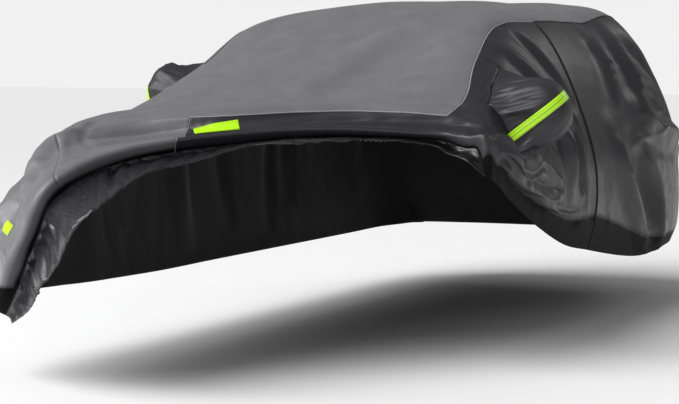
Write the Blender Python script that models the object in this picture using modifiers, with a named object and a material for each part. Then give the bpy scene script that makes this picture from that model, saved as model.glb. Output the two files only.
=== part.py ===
"""Fitted weather cover for a compact five-door hatchback, pulled back at the front.

The cover hangs as it does over the car, which isn't modelled: from the roof it falls to a gathered hem all
round, except at the front, where its left corner is pulled up over the bonnet. There the hem runs
from the right front corner slantwise over the bonnet to the left front wing and down the left side.

Heights are measured from the ground, distances along the car from the middle between the axles, with the
nose toward -Y, and x from the car's middle, its left at +X. The whole grid is then moved so that the
origin is under the roof cloth, where the cover rests on the car.
"""

import math
from collections import namedtuple

import bmesh
import bpy
import numpy as np
from mathutils import Vector
from mathutils.bvhtree import BVHTree

# Driving sizes, in metres
CLOTH = 0.002            # thickness of the coated cloth
TAPE = 0.0015            # thickness of strips and zip tape
SEAM_GAP = 0.0008        # between two panels at their seam
SEWN_GAP = 0.0008        # between a piece and the cloth that it is sewn on
BAND_OUT = 0.025         # the hem band's upper border stands this much further out than the hem
BAND_BACK = 0.03         # and this much further back
TUCK_IN = 0.02           # the front edge is turned under its lip by this much
TUCK_DOWN = 0.055        # and lies this much under the lip
VALLEY_AT = 0.68         # the valley's place on the way from the lip to the ridge
HEM_RIPPLE = 0.008       # the gathered front hem waves in and out by this much
HEM_WAVES = 7            # half waves of it from the middle to a side's hem
HEM_WAVES_END = 0.4      # the waves die out to the left at this line
ROOF_REST = (0.0, 0.35, 1.485 - CLOTH)   # the roof cloth's inner face, which rests on the car

# Where the surface's main lines run across the cover, from the middle (0) to the hem (1)
CROWN, SEAM, BELT, BORDER, HEM = 0.18, 0.36, 0.63, 0.9, 1.0
LINES = (-HEM, -BORDER, -BELT, -SEAM, -CROWN, 0.0, CROWN, SEAM, BELT, BORDER, HEM)
CELLS_ACROSS = (2, 5, 6, 4, 6, 4, 4, 7, 8, 3)      # faces between those lines, right hem to left hem

# The front edge, right to left: its hem, its overhanging lip, the ridge behind the lip, how deep the valley
# between them is, and how much of the tuck there is
FrontCut = namedtuple("FrontCut", "line hem lip ridge valley tuck")
FRONT = (
    FrontCut(-HEM, (-0.710, -1.925, 0.235), (-0.820, -1.875, 0.270), (-0.890, -1.700, 0.300), 0.0, 0.3),
    FrontCut(-BORDER, (-0.560, -2.030, 0.315), (-0.730, -1.940, 0.375), (-0.900, -1.740, 0.390), 0.0, 0.8),
    FrontCut(-BELT, (-0.330, -2.190, 0.505), (-0.530, -2.105, 0.570), (-0.785, -1.860, 0.640), 0.0, 1.0),
    FrontCut(-SEAM, (-0.130, -2.200, 0.735), (-0.370, -2.120, 0.800), (-0.610, -1.730, 0.920), 0.006, 1.0),
    FrontCut(-CROWN, (-0.130, -1.820, 0.822), (-0.260, -1.840, 0.895), (-0.400, -1.520, 0.985), 0.032, 1.0),
    FrontCut(0.0, (0.020, -1.610, 0.880), (-0.045, -1.580, 0.940), (-0.090, -1.380, 1.008), 0.040, 1.0),
    FrontCut(CROWN, (0.300, -1.330, 0.936), (0.300, -1.310, 0.968), (0.280, -1.130, 1.025), 0.026, 0.8),
    FrontCut(SEAM, (0.600, -1.090, 0.912), (0.610, -1.070, 0.944), (0.680, -0.960, 1.012), 0.010, 0.6),
    FrontCut(BELT, (0.740, -1.090, 0.874), (0.790, -1.065, 0.932), (0.860, -0.930, 0.945), 0.004, 0.5),
    FrontCut(BORDER, (0.845, -1.110, 0.835), (0.890, -1.075, 0.892), (0.920, -0.970, 0.880), 0.0, 0.3),
    FrontCut(HEM, (0.882, -1.090, 0.798), (0.900, -1.060, 0.782), (0.900, -0.970, 0.748), 0.0, 0.1),
)
FRONT_ROWS = ("hem", "tuck", "lip", "valley", "ridge")
CELLS_FRONT = (3, 2, 3, 3, 5)        # faces from each of those rows to the next

# One side of a section: (out, along, up) at the panel seam, the belt and the hem, and the hem band's height
Side = namedtuple("Side", "seam belt hem band")
Section = namedtuple("Section", "name cells middle right left")


def even(name, cells, middle, side):
    """A section that is alike on both sides."""
    return Section(name, cells, middle, side, side)


# Sections from the foot of the windscreen to the hem at the tail; cells are the faces to the next one
SECTIONS = (
    Section("cowl", 7, (-0.920, 1.070),
            Side((0.760, -0.980, 1.010), (0.910, -1.000, 0.720), (0.885, -1.000, 0.290), 0.10),
            Side((0.690, -0.780, 1.085), (0.880, -0.740, 0.888), (0.885, -0.830, 0.692), 0.09)),
    Section("screen", 7, (-0.450, 1.290),
            Side((0.665, -0.500, 1.205), (0.900, -0.500, 0.900), (0.885, -0.500, 0.280), 0.10),
            Side((0.638, -0.548, 1.224), (0.870, -0.450, 0.930), (0.880, -0.530, 0.570), 0.10)),
    Section("header", 6, (-0.080, 1.440),
            Side((0.635, -0.200, 1.350), (0.895, -0.100, 0.910), (0.885, -0.050, 0.280), 0.10),
            Side((0.594, -0.193, 1.372), (0.885, -0.080, 0.910), (0.875, -0.120, 0.440), 0.10)),
    Section("peak", 6, (0.350, 1.485),
            Side((0.620, 0.200, 1.393), (0.895, 0.350, 0.910), (0.880, 0.350, 0.280), 0.10),
            Side((0.620, 0.200, 1.393), (0.885, 0.190, 0.900), (0.875, 0.200, 0.385), 0.12)),
    even("roof", 5, (1.100, 1.485),
         Side((0.600, 0.900, 1.390), (0.895, 1.000, 0.920), (0.870, 1.000, 0.280), 0.10)),
    even("roof end", 4, (1.800, 1.440),
         Side((0.585, 1.560, 1.385), (0.875, 1.500, 0.950), (0.855, 1.500, 0.282), 0.09)),
    even("tailgate", 4, (2.030, 1.100),
         Side((0.530, 1.940, 1.060), (0.800, 1.800, 0.850), (0.820, 1.750, 0.290), 0.09)),
    even("bumper", 3, (2.120, 0.720),
         Side((0.440, 2.070, 0.700), (0.700, 1.970, 0.660), (0.760, 1.880, 0.295), 0.09)),
    even("tail band", 2, (2.125, 0.390),
         Side((0.350, 2.105, 0.390), (0.500, 2.085, 0.390), (0.700, 1.960, 0.300), 0.085)),
    even("tail hem", 0, (2.105, 0.300),
         Side((0.330, 2.090, 0.300), (0.480, 2.070, 0.300), (0.660, 1.990, 0.300), 0.0)),
)
ROW_NAMES = FRONT_ROWS + tuple(section.name for section in SECTIONS)
CELLS_ALONG = CELLS_FRONT + tuple(section.cells for section in SECTIONS if section.cells)
LIP, VALLEY, RIDGE, COWL, SCREEN, HEADER, PEAK, ROOF, ROOF_END, TAILGATE, BUMPER = range(2, 13)

# Folds: start, bend and end as (line across, row along), half width and depth; a trough's depth is negative
Fold = namedtuple("Fold", "start bend end width depth")
FOLDS = (
    # the pulled cloth on the right front corner
    Fold((-0.30, RIDGE + 0.1), (-0.42, VALLEY + 0.6), (-0.52, LIP + 0.3), 0.085, 0.036),
    Fold((-0.40, RIDGE + 0.3), (-0.52, RIDGE), (-0.63, LIP + 0.5), 0.075, -0.034),
    Fold((-0.50, RIDGE + 0.2), (-0.68, VALLEY + 0.6), (-0.80, LIP + 0.3), 0.085, 0.034),
    Fold((-0.20, COWL), (-0.32, RIDGE + 0.4), (-0.40, RIDGE - 0.1), 0.100, 0.010),
    # the long slack trough over the lower left of the windscreen
    Fold((0.00, COWL + 0.05), (0.13, COWL + 0.65), (0.28, SCREEN + 0.2), 0.240, -0.036),
    Fold((-0.06, COWL - 0.05), (0.04, COWL + 0.70), (0.16, SCREEN + 0.5), 0.130, 0.016),
    # layered folds of the pulled-up hem on the left side, upper to lower
    Fold((0.56, VALLEY + 0.5), (0.82, RIDGE + 0.15), (0.82, COWL + 0.70), 0.045, 0.008),
    Fold((0.84, RIDGE + 0.2), (0.90, COWL + 0.05), (0.83, SCREEN), 0.055, 0.030),
    Fold((0.90, COWL + 0.3), (0.90, SCREEN + 0.1), (0.83, SCREEN + 0.6), 0.060, 0.034),
    # soft upright folds between the mirror and the zip
    Fold((0.56, HEADER - 0.10), (0.67, SCREEN + 0.75), (0.81, SCREEN + 0.90), 0.075, 0.042),
    Fold((0.60, HEADER + 0.40), (0.70, HEADER + 0.30), (0.83, HEADER + 0.45), 0.065, -0.034),
    Fold((0.40, SCREEN + 0.60), (0.50, HEADER - 0.15), (0.60, HEADER + 0.30), 0.080, 0.030),
    Fold((0.38, HEADER + 0.10), (0.46, HEADER + 0.40), (0.56, HEADER + 0.70), 0.070, -0.026),
    # long folds from the roof seam down and back over the left rear
    Fold((0.40, ROOF - 0.15), (0.48, ROOF - 0.25), (0.60, ROOF - 0.40), 0.110, 0.040),
    Fold((0.40, ROOF + 0.33), (0.51, ROOF + 0.15), (0.64, ROOF), 0.110, 0.046),
    Fold((0.42, ROOF + 0.45), (0.52, ROOF + 0.85), (0.66, ROOF_END + 0.4), 0.120, -0.050),
    Fold((0.58, ROOF - 0.10), (0.66, ROOF + 0.35), (0.70, ROOF_END + 0.5), 0.100, 0.040),
    Fold((0.62, PEAK + 0.40), (0.76, PEAK + 0.50), (0.90, ROOF), 0.120, 0.044),
    Fold((0.68, ROOF - 0.20), (0.80, ROOF + 0.18), (0.93, ROOF + 0.68), 0.120, 0.044),
    Fold((0.66, PEAK + 0.75), (0.78, PEAK + 0.85), (0.90, ROOF + 0.35), 0.100, -0.036),
    # plainer folds on the right side and over the tail
    Fold((-0.40, ROOF - 0.15), (-0.55, ROOF - 0.30), (-0.80, ROOF - 0.35), 0.120, 0.042),
    Fold((-0.40, ROOF + 0.40), (-0.55, ROOF + 0.70), (-0.80, ROOF_END + 0.3), 0.130, -0.046),
    Fold((-0.45, PEAK + 0.30), (-0.62, PEAK + 0.45), (-0.88, PEAK + 0.30), 0.110, 0.036),
    Fold((-0.45, HEADER + 0.30), (-0.62, HEADER + 0.40), (-0.85, HEADER + 0.50), 0.110, 0.038),
    Fold((-0.45, COWL + 0.10), (-0.62, COWL - 0.10), (-0.85, COWL - 0.20), 0.120, 0.040),
    Fold((-0.62, SCREEN + 0.50), (-0.74, SCREEN + 0.45), (-0.88, SCREEN + 0.50), 0.110, -0.038),
    Fold((0.24, ROOF_END + 0.3), (0.14, TAILGATE + 0.2), (0.20, BUMPER + 0.4), 0.130, -0.030),
    Fold((-0.20, ROOF_END + 0.3), (-0.13, TAILGATE + 0.3), (-0.20, BUMPER + 0.4), 0.130, -0.030),
)

# A mirror pocket's rings beyond its mouth: way out, half length along the car, half height, and how far the
# ring has turned from the mouth's own outline and slant to an upright oval
Ring = namedtuple("Ring", "out along up oval")
POCKET_RINGS = (
    Ring(0.115, 0.125, 0.130, 0.20),
    Ring(0.130, 0.135, 0.138, 0.55),
    Ring(0.140, 0.135, 0.135, 1.00),
    Ring(0.190, 0.115, 0.115, 1.00),
    Ring(0.227, 0.082, 0.085, 1.00),
    Ring(0.247, 0.045, 0.045, 1.00),
)
POCKET_TIP = 0.254                       # way out of the closed end
POCKET_AXIS = Vector((0.970, 0.120))     # out and a little back
# The pockets: side, mouth from line to line and from row to row, how far, how wide and how high they
# reach, and how much their axis rises
Pocket = namedtuple("Pocket", "name sign across along reach width height rise")
POCKETS = (
    Pocket("mirror_pocket_left", 1, (0.43, 0.68), (COWL + 0.02, SCREEN + 0.26), 0.92, 1.10, 0.98, 0.31),
    Pocket("mirror_pocket_right", -1, (0.43, 0.60), (COWL + 0.85, SCREEN + 0.45), 0.56, 0.84, 0.94, 0.20),
)

# A strip: the pieces it is sewn on, its two ends, the way that it faces, and its width
Strip = namedtuple("Strip", "name hosts start end faces width")
STRIPS = (
    Strip("strip_nose", ("side_left_front",), (-0.165, -1.474, 0.967), (-0.023, -1.370, 0.987),
          (0.30, -0.57, 0.76), 0.042),
    Strip("strip_corner_right", ("side_right",), (-0.674, -1.967, 0.592), (-0.736, -1.932, 0.610),
          (-0.45, -0.85, 0.25), 0.045),
    Strip("strip_mirror_left", ("mirror_pocket_left",), (0.922, -0.795, 0.946),
          (1.028, -0.548, 1.092), (0.68, -0.66, 0.30), 0.038),
    Strip("strip_mirror_right", ("mirror_pocket_right",), (-0.935, -0.537, 1.106), (-0.938, -0.537, 1.040),
          (-0.60, -0.79, 0.12), 0.035),
)
STRIP_CELLS = 24         # places along a strip where its hosts are felt
STRIP_LIFT = 0.0042      # a strip's outer face stands this far off its hosts, measured the way it faces
ZIP_WIDTH = 0.016
CORNER_SEAM = -0.06      # line of the short seam beside the nose strip

# Each piece's linear colour and roughness
Paint = namedtuple("Paint", "colour roughness")
CHARCOAL = Paint((0.048, 0.046, 0.050, 1.0), 0.55)
CHARCOAL_SIDE = Paint((0.038, 0.036, 0.041, 1.0), 0.55)
NEON = Paint((0.45, 0.90, 0.02, 1.0), 0.40)
ZIP_BLACK = Paint((0.010, 0.010, 0.012, 1.0), 0.45)


# ---------------------------------------------------------------- the surface

def unit(vector):
    return vector / np.linalg.norm(vector)


def front_rows():
    """The hem, the turned-under tuck, the lip, the valley and the ridge, each with a point on every line."""
    hem, lip, ridge = (np.array([getattr(cut, row) for cut in FRONT]) for row in ("hem", "lip", "ridge"))
    tuck, valley = [], []
    for cut, run, low, edge, top in zip(FRONT, np.gradient(lip, axis=0), hem, lip, ridge):
        inward = unit(top - low)
        out = unit(np.cross(run, inward))
        curled = edge + TUCK_IN * inward - TUCK_DOWN * out
        tuck.append(cut.tuck * curled + (1 - cut.tuck) * (low + edge) / 2)
        valley.append(edge + VALLEY_AT * (top - edge) - cut.valley * out)
    return [hem, np.array(tuck), lip, np.array(valley), ridge]


def half_section(side, middle, sign):
    """One side of a section from hem to crown; the crown is nearly as high as the middle."""
    seam, belt, hem = (np.array((sign * out, along, up)) for out, along, up in side[:3])
    border = hem + np.array((sign * BAND_OUT, BAND_BACK, side.band))
    crown = middle + (seam - middle) * np.array((0.5, 0.25, 0.10))
    return [hem, border, belt, seam, crown]


def section_row(section):
    middle = np.array((0.0, *section.middle))
    right = half_section(section.right, middle, -1)
    left = half_section(section.left, middle, 1)
    return np.array(right + [middle] + left[::-1])


def smooth_through(stations, points, wanted):
    """A cubic curve through points at their stations, read at the wanted stations."""
    stations, points, wanted = (np.asarray(v, float) for v in (stations, points, wanted))
    gap = np.diff(stations)
    slope = np.diff(points, axis=0) / gap[:, None]
    tangent = np.empty_like(points)
    tangent[1:-1] = (slope[:-1] * gap[1:, None] + slope[1:] * gap[:-1, None]) / (gap[:-1] + gap[1:])[:, None]
    tangent[0], tangent[-1] = slope[0], slope[-1]
    i = np.clip(np.searchsorted(stations, wanted, side="right") - 1, 0, len(gap) - 1)
    t = ((wanted - stations[i]) / gap[i])[:, None]
    h = gap[i][:, None]
    return ((2 * t**3 - 3 * t**2 + 1) * points[i] + (t**3 - 2 * t**2 + t) * h * tangent[i]
            + (3 * t**2 - 2 * t**3) * points[i + 1] + (t**3 - t**2) * h * tangent[i + 1])


def base_surface(lines, rows):
    """Points of the unfolded surface at every (row, line)."""
    guides = front_rows() + [section_row(section) for section in SECTIONS]
    across = np.array([smooth_through(LINES, guide, lines) for guide in guides])
    step = np.linalg.norm(np.diff(across, axis=0), axis=2).mean(axis=1)
    station = np.concatenate([[0.0], np.cumsum(step)])
    at = np.interp(rows, np.arange(len(guides)), station)
    return np.stack([smooth_through(station, across[:, j], at) for j in range(len(lines))], axis=1)


def outward(points):
    """Unit normals of a grid of points, away from the car."""
    normal = np.cross(np.gradient(points, axis=1), np.gradient(points, axis=0))
    return normal / np.linalg.norm(normal, axis=2, keepdims=True)


def fold_height(fold, points):
    """How far a fold lifts each point: a rounded bump across it that dies out at both ends."""
    t = np.linspace(0.0, 1.0, 25)
    course = smooth_through((0.0, 0.5, 1.0), np.array((fold.start, fold.bend, fold.end)), t)
    spine = np.array([base_surface([line], [row])[0, 0] for line, row in course])
    away = np.linalg.norm(points[:, :, None, :] - spine, axis=3)
    nearest_at = t[away.argmin(axis=2)]
    across = 0.5 + 0.5 * np.cos(np.pi * np.clip(away.min(axis=2) / fold.width, 0.0, 1.0))
    return fold.depth * across * np.sin(np.pi * np.clip(nearest_at, 0.06, 0.94)) ** 0.7


def spread(marks, cells):
    """Stations from mark to mark with the given number of cells between them."""
    runs = [np.linspace(a, b, n, endpoint=False) for a, b, n in zip(marks, marks[1:], cells)]
    return np.concatenate(runs + [[marks[-1]]])


def draped_grid():
    """The whole cover's outer surface: stations across and along, points and outward normals."""
    lines = spread(LINES, CELLS_ACROSS)
    rows = spread(range(len(ROW_NAMES)), CELLS_ALONG)
    base = base_surface(lines, rows)
    lift = sum(fold_height(fold, base) for fold in FOLDS)
    lift *= np.clip((rows[:, None] - LIP) / 0.8, 0.0, 1.0)
    edge = np.clip(1.0 - rows[:, None] / LIP, 0.0, 1.0) * np.clip(5 * (HEM_WAVES_END - lines), 0.0, 1.0)
    lift += HEM_RIPPLE * edge * np.sin(np.pi * HEM_WAVES * lines)
    points = base + outward(base) * lift[:, :, None] - np.array(ROOF_REST)
    return lines, rows, points, outward(points)


# ---------------------------------------------------------------- making the pieces

def clear_scene():
    for thing in list(bpy.data.objects):
        bpy.data.objects.remove(thing, do_unlink=True)


def material(name, paint):
    made = bpy.data.materials.new(name)
    made.use_nodes = True
    shader = made.node_tree.nodes["Principled BSDF"]
    shader.inputs["Base Color"].default_value = paint.colour
    shader.inputs["Roughness"].default_value = paint.roughness
    shader.inputs["Metallic"].default_value = 0.0
    made.diffuse_color = paint.colour
    return made


def add_piece(name, mesh_edit, paint, collection):
    """A named object with its own material."""
    mesh = bpy.data.meshes.new(name)
    mesh_edit.to_mesh(mesh)
    mesh.shade_smooth()
    mesh.materials.append(material(name, paint))
    piece = bpy.data.objects.new(name, mesh)
    collection.objects.link(piece)
    return piece


def add_thin_piece(name, mesh_edit, thickness, paint, collection):
    """An object from an open surface, given its thickness toward the car."""
    piece = add_piece(name, mesh_edit, paint, collection)
    solid = piece.modifiers.new("Thickness", "SOLIDIFY")
    solid.thickness = thickness
    solid.offset = -1.0
    return piece


def cut_panel(grid, keep):
    """The grid's faces for which keep(row cell, line cell) is true, and each vertex's outward way."""
    lines, rows, points, normals = grid
    along, across = len(rows) - 1, len(lines) - 1
    sheet = bmesh.new()
    way = sheet.verts.layers.float_vector.new("outward")
    bmesh.ops.create_grid(sheet, x_segments=across, y_segments=along, size=1.0)
    drop = []
    for face in sheet.faces:
        centre = face.calc_center_median()
        if not keep(int((centre.y + 1) / 2 * along), int((centre.x + 1) / 2 * across)):
            drop.append(face)
    for vert in sheet.verts:
        i, j = round((vert.co.y + 1) / 2 * along), round((vert.co.x + 1) / 2 * across)
        vert.co = points[i, j]
        vert[way] = normals[i, j]
    bmesh.ops.delete(sheet, geom=drop, context="FACES")
    return sheet


def draw_in_edges(sheet, distance):
    """Trims a panel all round, which leaves a gap between it and the next panel."""
    ring = bmesh.ops.inset_region(sheet, faces=sheet.faces[:], thickness=distance, use_boundary=True,
                                  use_even_offset=True)
    bmesh.ops.delete(sheet, geom=ring["faces"], context="FACES")


def close_with_lining(sheet, thickness):
    """Gives a panel its thickness along the whole cover's normals, so that two panels meet squarely."""
    way = sheet.verts.layers.float_vector["outward"]
    outer = sheet.verts[:] + sheet.edges[:] + sheet.faces[:]
    rim = [edge.link_loops[0] for edge in sheet.edges if edge.is_boundary]
    rim = [(loop.vert, loop.link_loop_next.vert) for loop in rim]
    copy = bmesh.ops.duplicate(sheet, geom=outer)
    twin = copy["vert_map"]
    inner = [face for face in copy["geom"] if isinstance(face, bmesh.types.BMFace)]
    bmesh.ops.reverse_faces(sheet, faces=inner)
    for vert in {vert for face in inner for vert in face.verts}:
        vert.co -= vert[way].normalized() * thickness
    for a, b in rim:
        sheet.faces.new((b, a, twin[a], twin[b]))


def nearest(stations, wanted):
    return int(np.argmin(np.abs(np.asarray(stations) - wanted)))


def mouth_cells(grid, pocket):
    """A pocket's mouth: its first and last grid station along and across."""
    lines, rows = grid[:2]
    across = sorted(nearest(lines, pocket.sign * line) for line in pocket.across)
    along = [nearest(rows, row) for row in pocket.along]
    return along, across


def in_mouth(i, j, mouth):
    (i0, i1), (j0, j1) = mouth
    return i0 <= i < i1 and j0 <= j < j1


def pocket_bag(grid, mouth, pocket):
    """A closed bag from the mouth's edge outwards, ring by ring."""
    points, normals = grid[2:]
    (i0, i1), (j0, j1) = mouth
    loop = ([(i, j0) for i in range(i0, i1)] + [(i1, j) for j in range(j0, j1)]
            + [(i, j1) for i in range(i1, i0, -1)] + [(i0, j) for j in range(j1, j0, -1)])
    edge = [Vector(points[at] + SEWN_GAP * normals[at]) for at in loop]
    centre = sum(edge, Vector()) / len(edge)
    axis = Vector((pocket.sign * POCKET_AXIS.x, POCKET_AXIS.y, pocket.rise)).normalized()
    back = (Vector((0.0, 1.0, 0.0)) - axis * axis.y).normalized()
    top = axis.cross(back) if pocket.sign > 0 else back.cross(axis)
    turns = [math.atan2((point - centre).dot(top), (point - centre).dot(back)) for point in edge]
    rings = [edge]
    for ring in POCKET_RINGS:
        wide = pocket.width * (back * ring.along)
        high = pocket.height * (top * ring.up)
        oval = [centre + axis * ring.out * pocket.reach + wide * math.cos(turn) + high * math.sin(turn)
                for turn in turns]
        rings.append([at.lerp(to, ring.oval) for at, to in zip(edge, oval)])
    bag = bmesh.new()
    verts = [[bag.verts.new(point) for point in ring] for ring in rings]
    tip = bag.verts.new(centre + axis * POCKET_TIP * pocket.reach)
    count = len(loop)
    for low, high in zip(verts, verts[1:]):
        for k in range(count):
            bag.faces.new((low[k - 1], low[k], high[k], high[k - 1]))
    for k in range(count):
        bag.faces.new((verts[-1][k - 1], verts[-1][k], tip))
    bmesh.ops.recalc_face_normals(bag, faces=bag.faces[:])
    if tip.normal.dot(axis) < 0 or sum((f.normal.dot(axis) for f in tip.link_faces)) < 0:
        bmesh.ops.reverse_faces(bag, faces=bag.faces[:])
    return bag


def taut(heights):
    """The lowest curve over evenly spaced heights that is nowhere hollow, like a taut tape."""
    places = range(len(heights))
    over = []
    for at in places:
        while len(over) > 1 and ((heights[over[-1]] - heights[over[-2]]) * (at - over[-2])
                                 <= (heights[at] - heights[over[-2]]) * (over[-1] - over[-2])):
            over.pop()
        over.append(at)
    return np.interp(places, over, [heights[at] for at in over])


def strip_over(hosts, strip):
    """A tape laid tautly over its hosts between two points."""
    start, end = (Vector(point) - Vector(ROOF_REST) for point in (strip.start, strip.end))
    faces = Vector(strip.faces).normalized()
    side = (end - start).cross(faces).normalized() * strip.width / 2
    trees = [BVHTree.FromBMesh(host) for host in hosts]
    tape = bmesh.new()
    rows = []
    for across in (-1, 0, 1):
        spots = [start.lerp(end, k / STRIP_CELLS) + side * across for k in range(STRIP_CELLS + 1)]
        felt = []
        for spot in spots:
            hits = [tree.ray_cast(spot + faces * 0.5, -faces) for tree in trees]
            felt.append(max([0.5 - hit[3] for hit in hits if hit[0]], default=-1.0))
        lowest = min(height for height in felt if height > -1.0)
        heights = taut([max(height, lowest) for height in felt])
        rows.append([tape.verts.new(spot + faces * (height + STRIP_LIFT))
                     for spot, height in zip(spots, heights)])
    for low, high in zip(rows, rows[1:]):
        for k in range(1, len(low)):
            tape.faces.new((low[k], low[k - 1], high[k - 1], high[k]))
    return tape


def zip_tape(grid, row):
    """A narrow tape over the joint at a grid row, from the roof seam to the hem band."""
    lines, _, points, normals = grid
    tape = bmesh.new()
    runs = []
    for to in (-1, 0, 1):
        run = []
        for j in range(nearest(lines, SEAM) + 1, nearest(lines, BORDER) + 1):
            step = points[row + to, j] - points[row, j]
            reach = ZIP_WIDTH / 2 / np.linalg.norm(step) if to else 0.0
            run.append(tape.verts.new(points[row, j] + step * reach + normals[row, j] * (SEWN_GAP + TAPE)))
        runs.append(run)
    for low, high in zip(runs, runs[1:]):
        for k in range(1, len(low)):
            tape.faces.new((low[k - 1], low[k], high[k], high[k - 1]))
    return tape


def main():
    clear_scene()
    collection = bpy.data.collections.new("car_cover")
    bpy.context.scene.collection.children.link(collection)

    grid = draped_grid()
    lines, rows = grid[:2]
    left_seam, right_seam, corner_seam = (nearest(lines, line) for line in (SEAM, -SEAM, CORNER_SEAM))
    ridge_seam = nearest(rows, RIDGE)
    zip_row = nearest(rows, PEAK)
    mouths = {pocket.name: mouth_cells(grid, pocket) for pocket in POCKETS}

    def open_for_pocket(i, j):
        return any(in_mouth(i, j, mouth) for mouth in mouths.values())

    def on_left(i, j):
        return j >= (corner_seam if i < ridge_seam else left_seam)

    panels = (
        ("centre_panel", CHARCOAL, lambda i, j: j >= right_seam and not on_left(i, j)),
        ("side_left_front", CHARCOAL_SIDE, lambda i, j: on_left(i, j) and i < zip_row),
        ("side_left_rear", CHARCOAL_SIDE, lambda i, j: on_left(i, j) and i >= zip_row),
        ("side_right", CHARCOAL_SIDE, lambda i, j: j < right_seam),
    )
    hosts = {}
    for name, paint, covers in panels:
        sheet = cut_panel(grid, lambda i, j: covers(i, j) and not open_for_pocket(i, j))
        draw_in_edges(sheet, SEAM_GAP / 2)
        hosts[name] = sheet.copy()
        close_with_lining(sheet, CLOTH)
        add_piece(name, sheet, paint, collection)
        sheet.free()

    for pocket in POCKETS:
        hosts[pocket.name] = pocket_bag(grid, mouths[pocket.name], pocket)
        add_thin_piece(pocket.name, hosts[pocket.name], CLOTH, CHARCOAL_SIDE, collection)

    for strip in STRIPS:
        tape = strip_over([hosts[host] for host in strip.hosts], strip)
        add_thin_piece(strip.name, tape, TAPE, NEON, collection)
        tape.free()
    tape = zip_tape(grid, zip_row)
    add_thin_piece("zip_tape", tape, TAPE, ZIP_BLACK, collection)
    tape.free()
    for host in hosts.values():
        host.free()


if __name__ == "__main__":
    main()
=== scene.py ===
"""A fitted car cover of coated polyester, drawn over a compact hatchback, its front left corner pulled up.

The cover's surface is one grid: lines run across it from the right hem to the left, rows along it from the
front hem to the tail. Panels, mirror pockets, tapes, piping and the zip are all laid out on that grid. Nose
toward -Y, the car's left at +X, and the origin under the roof cloth.
"""

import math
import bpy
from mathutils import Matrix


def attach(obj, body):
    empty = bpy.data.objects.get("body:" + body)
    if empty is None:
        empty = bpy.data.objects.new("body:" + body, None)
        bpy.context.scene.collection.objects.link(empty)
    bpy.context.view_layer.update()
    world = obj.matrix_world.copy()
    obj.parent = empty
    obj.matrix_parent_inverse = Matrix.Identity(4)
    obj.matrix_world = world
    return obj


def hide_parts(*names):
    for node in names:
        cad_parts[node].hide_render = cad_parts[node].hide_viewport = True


bl_info = {
    "name": "Pulled-back car cover",
    "version": (1, 0, 0),
    "blender": (4, 5, 0),
    "location": "View3D > Sidebar > Car cover",
    "description": "Builds a fitted weather cover with folds, mirror pockets, reflective strips "
                   "and a side zip",
    "category": "Add Mesh",
}

from collections import namedtuple

import bmesh
import bpy
import numpy as np
from bpy.props import FloatProperty, FloatVectorProperty, PointerProperty
from mathutils import Vector, noise
from mathutils.bvhtree import BVHTree

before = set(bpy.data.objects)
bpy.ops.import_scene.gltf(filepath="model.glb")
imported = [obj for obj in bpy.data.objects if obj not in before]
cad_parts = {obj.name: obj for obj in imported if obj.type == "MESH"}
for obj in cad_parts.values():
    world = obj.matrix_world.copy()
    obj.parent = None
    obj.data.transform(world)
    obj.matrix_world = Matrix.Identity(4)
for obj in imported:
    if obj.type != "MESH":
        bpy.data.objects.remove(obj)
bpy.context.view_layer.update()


def hex_colour(text):
    """An sRGB hex value as linear red, green, blue and alpha."""
    parts = [int(text[k:k + 2], 16) / 255 for k in (1, 3, 5)]
    return tuple(c / 12.92 if c <= 0.04045 else ((c + 0.055) / 1.055) ** 2.4 for c in parts) + (1.0,)


# ---------------- the cover's sizes, in metres

CLOTH = 0.002            # thickness of the coated cloth
CROWN_AT = (0.5, 0.25, 0.10)  # the crown's place from the middle to the panel seam: across, along and up
BAND_OUT = 0.025         # the hem band's upper border stands this much further out than the hem
BAND_BACK = 0.03         # and this much further back
TUCK_IN = 0.02           # the front edge is turned under its lip by this much
TUCK_DOWN = 0.055        # and lies this much under the lip
VALLEY_AT = 0.68         # the valley's place on the way from the lip to the ridge
HEM_RIPPLE = 0.008       # the gathered front hem waves in and out by this much
HEM_WAVES = 7            # half waves of it from the middle to a side's hem
HEM_WAVES_END = 0.4      # the waves die out to the left at this line
ROOF_REST = (0.0, 0.35, 1.485 - CLOTH)   # the roof cloth's inner face, which rests on the car

# Where the surface's main lines run across the cover, from the middle (0) to the hem (1)
CROWN, SEAM, BELT, BORDER, HEM = 0.18, 0.36, 0.63, 0.9, 1.0
LINES = (-HEM, -BORDER, -BELT, -SEAM, -CROWN, 0.0, CROWN, SEAM, BELT, BORDER, HEM)
CELLS_ACROSS = (12, 26, 32, 24, 38, 24, 26, 42, 60, 20)     # faces between those lines, right hem to left

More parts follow.
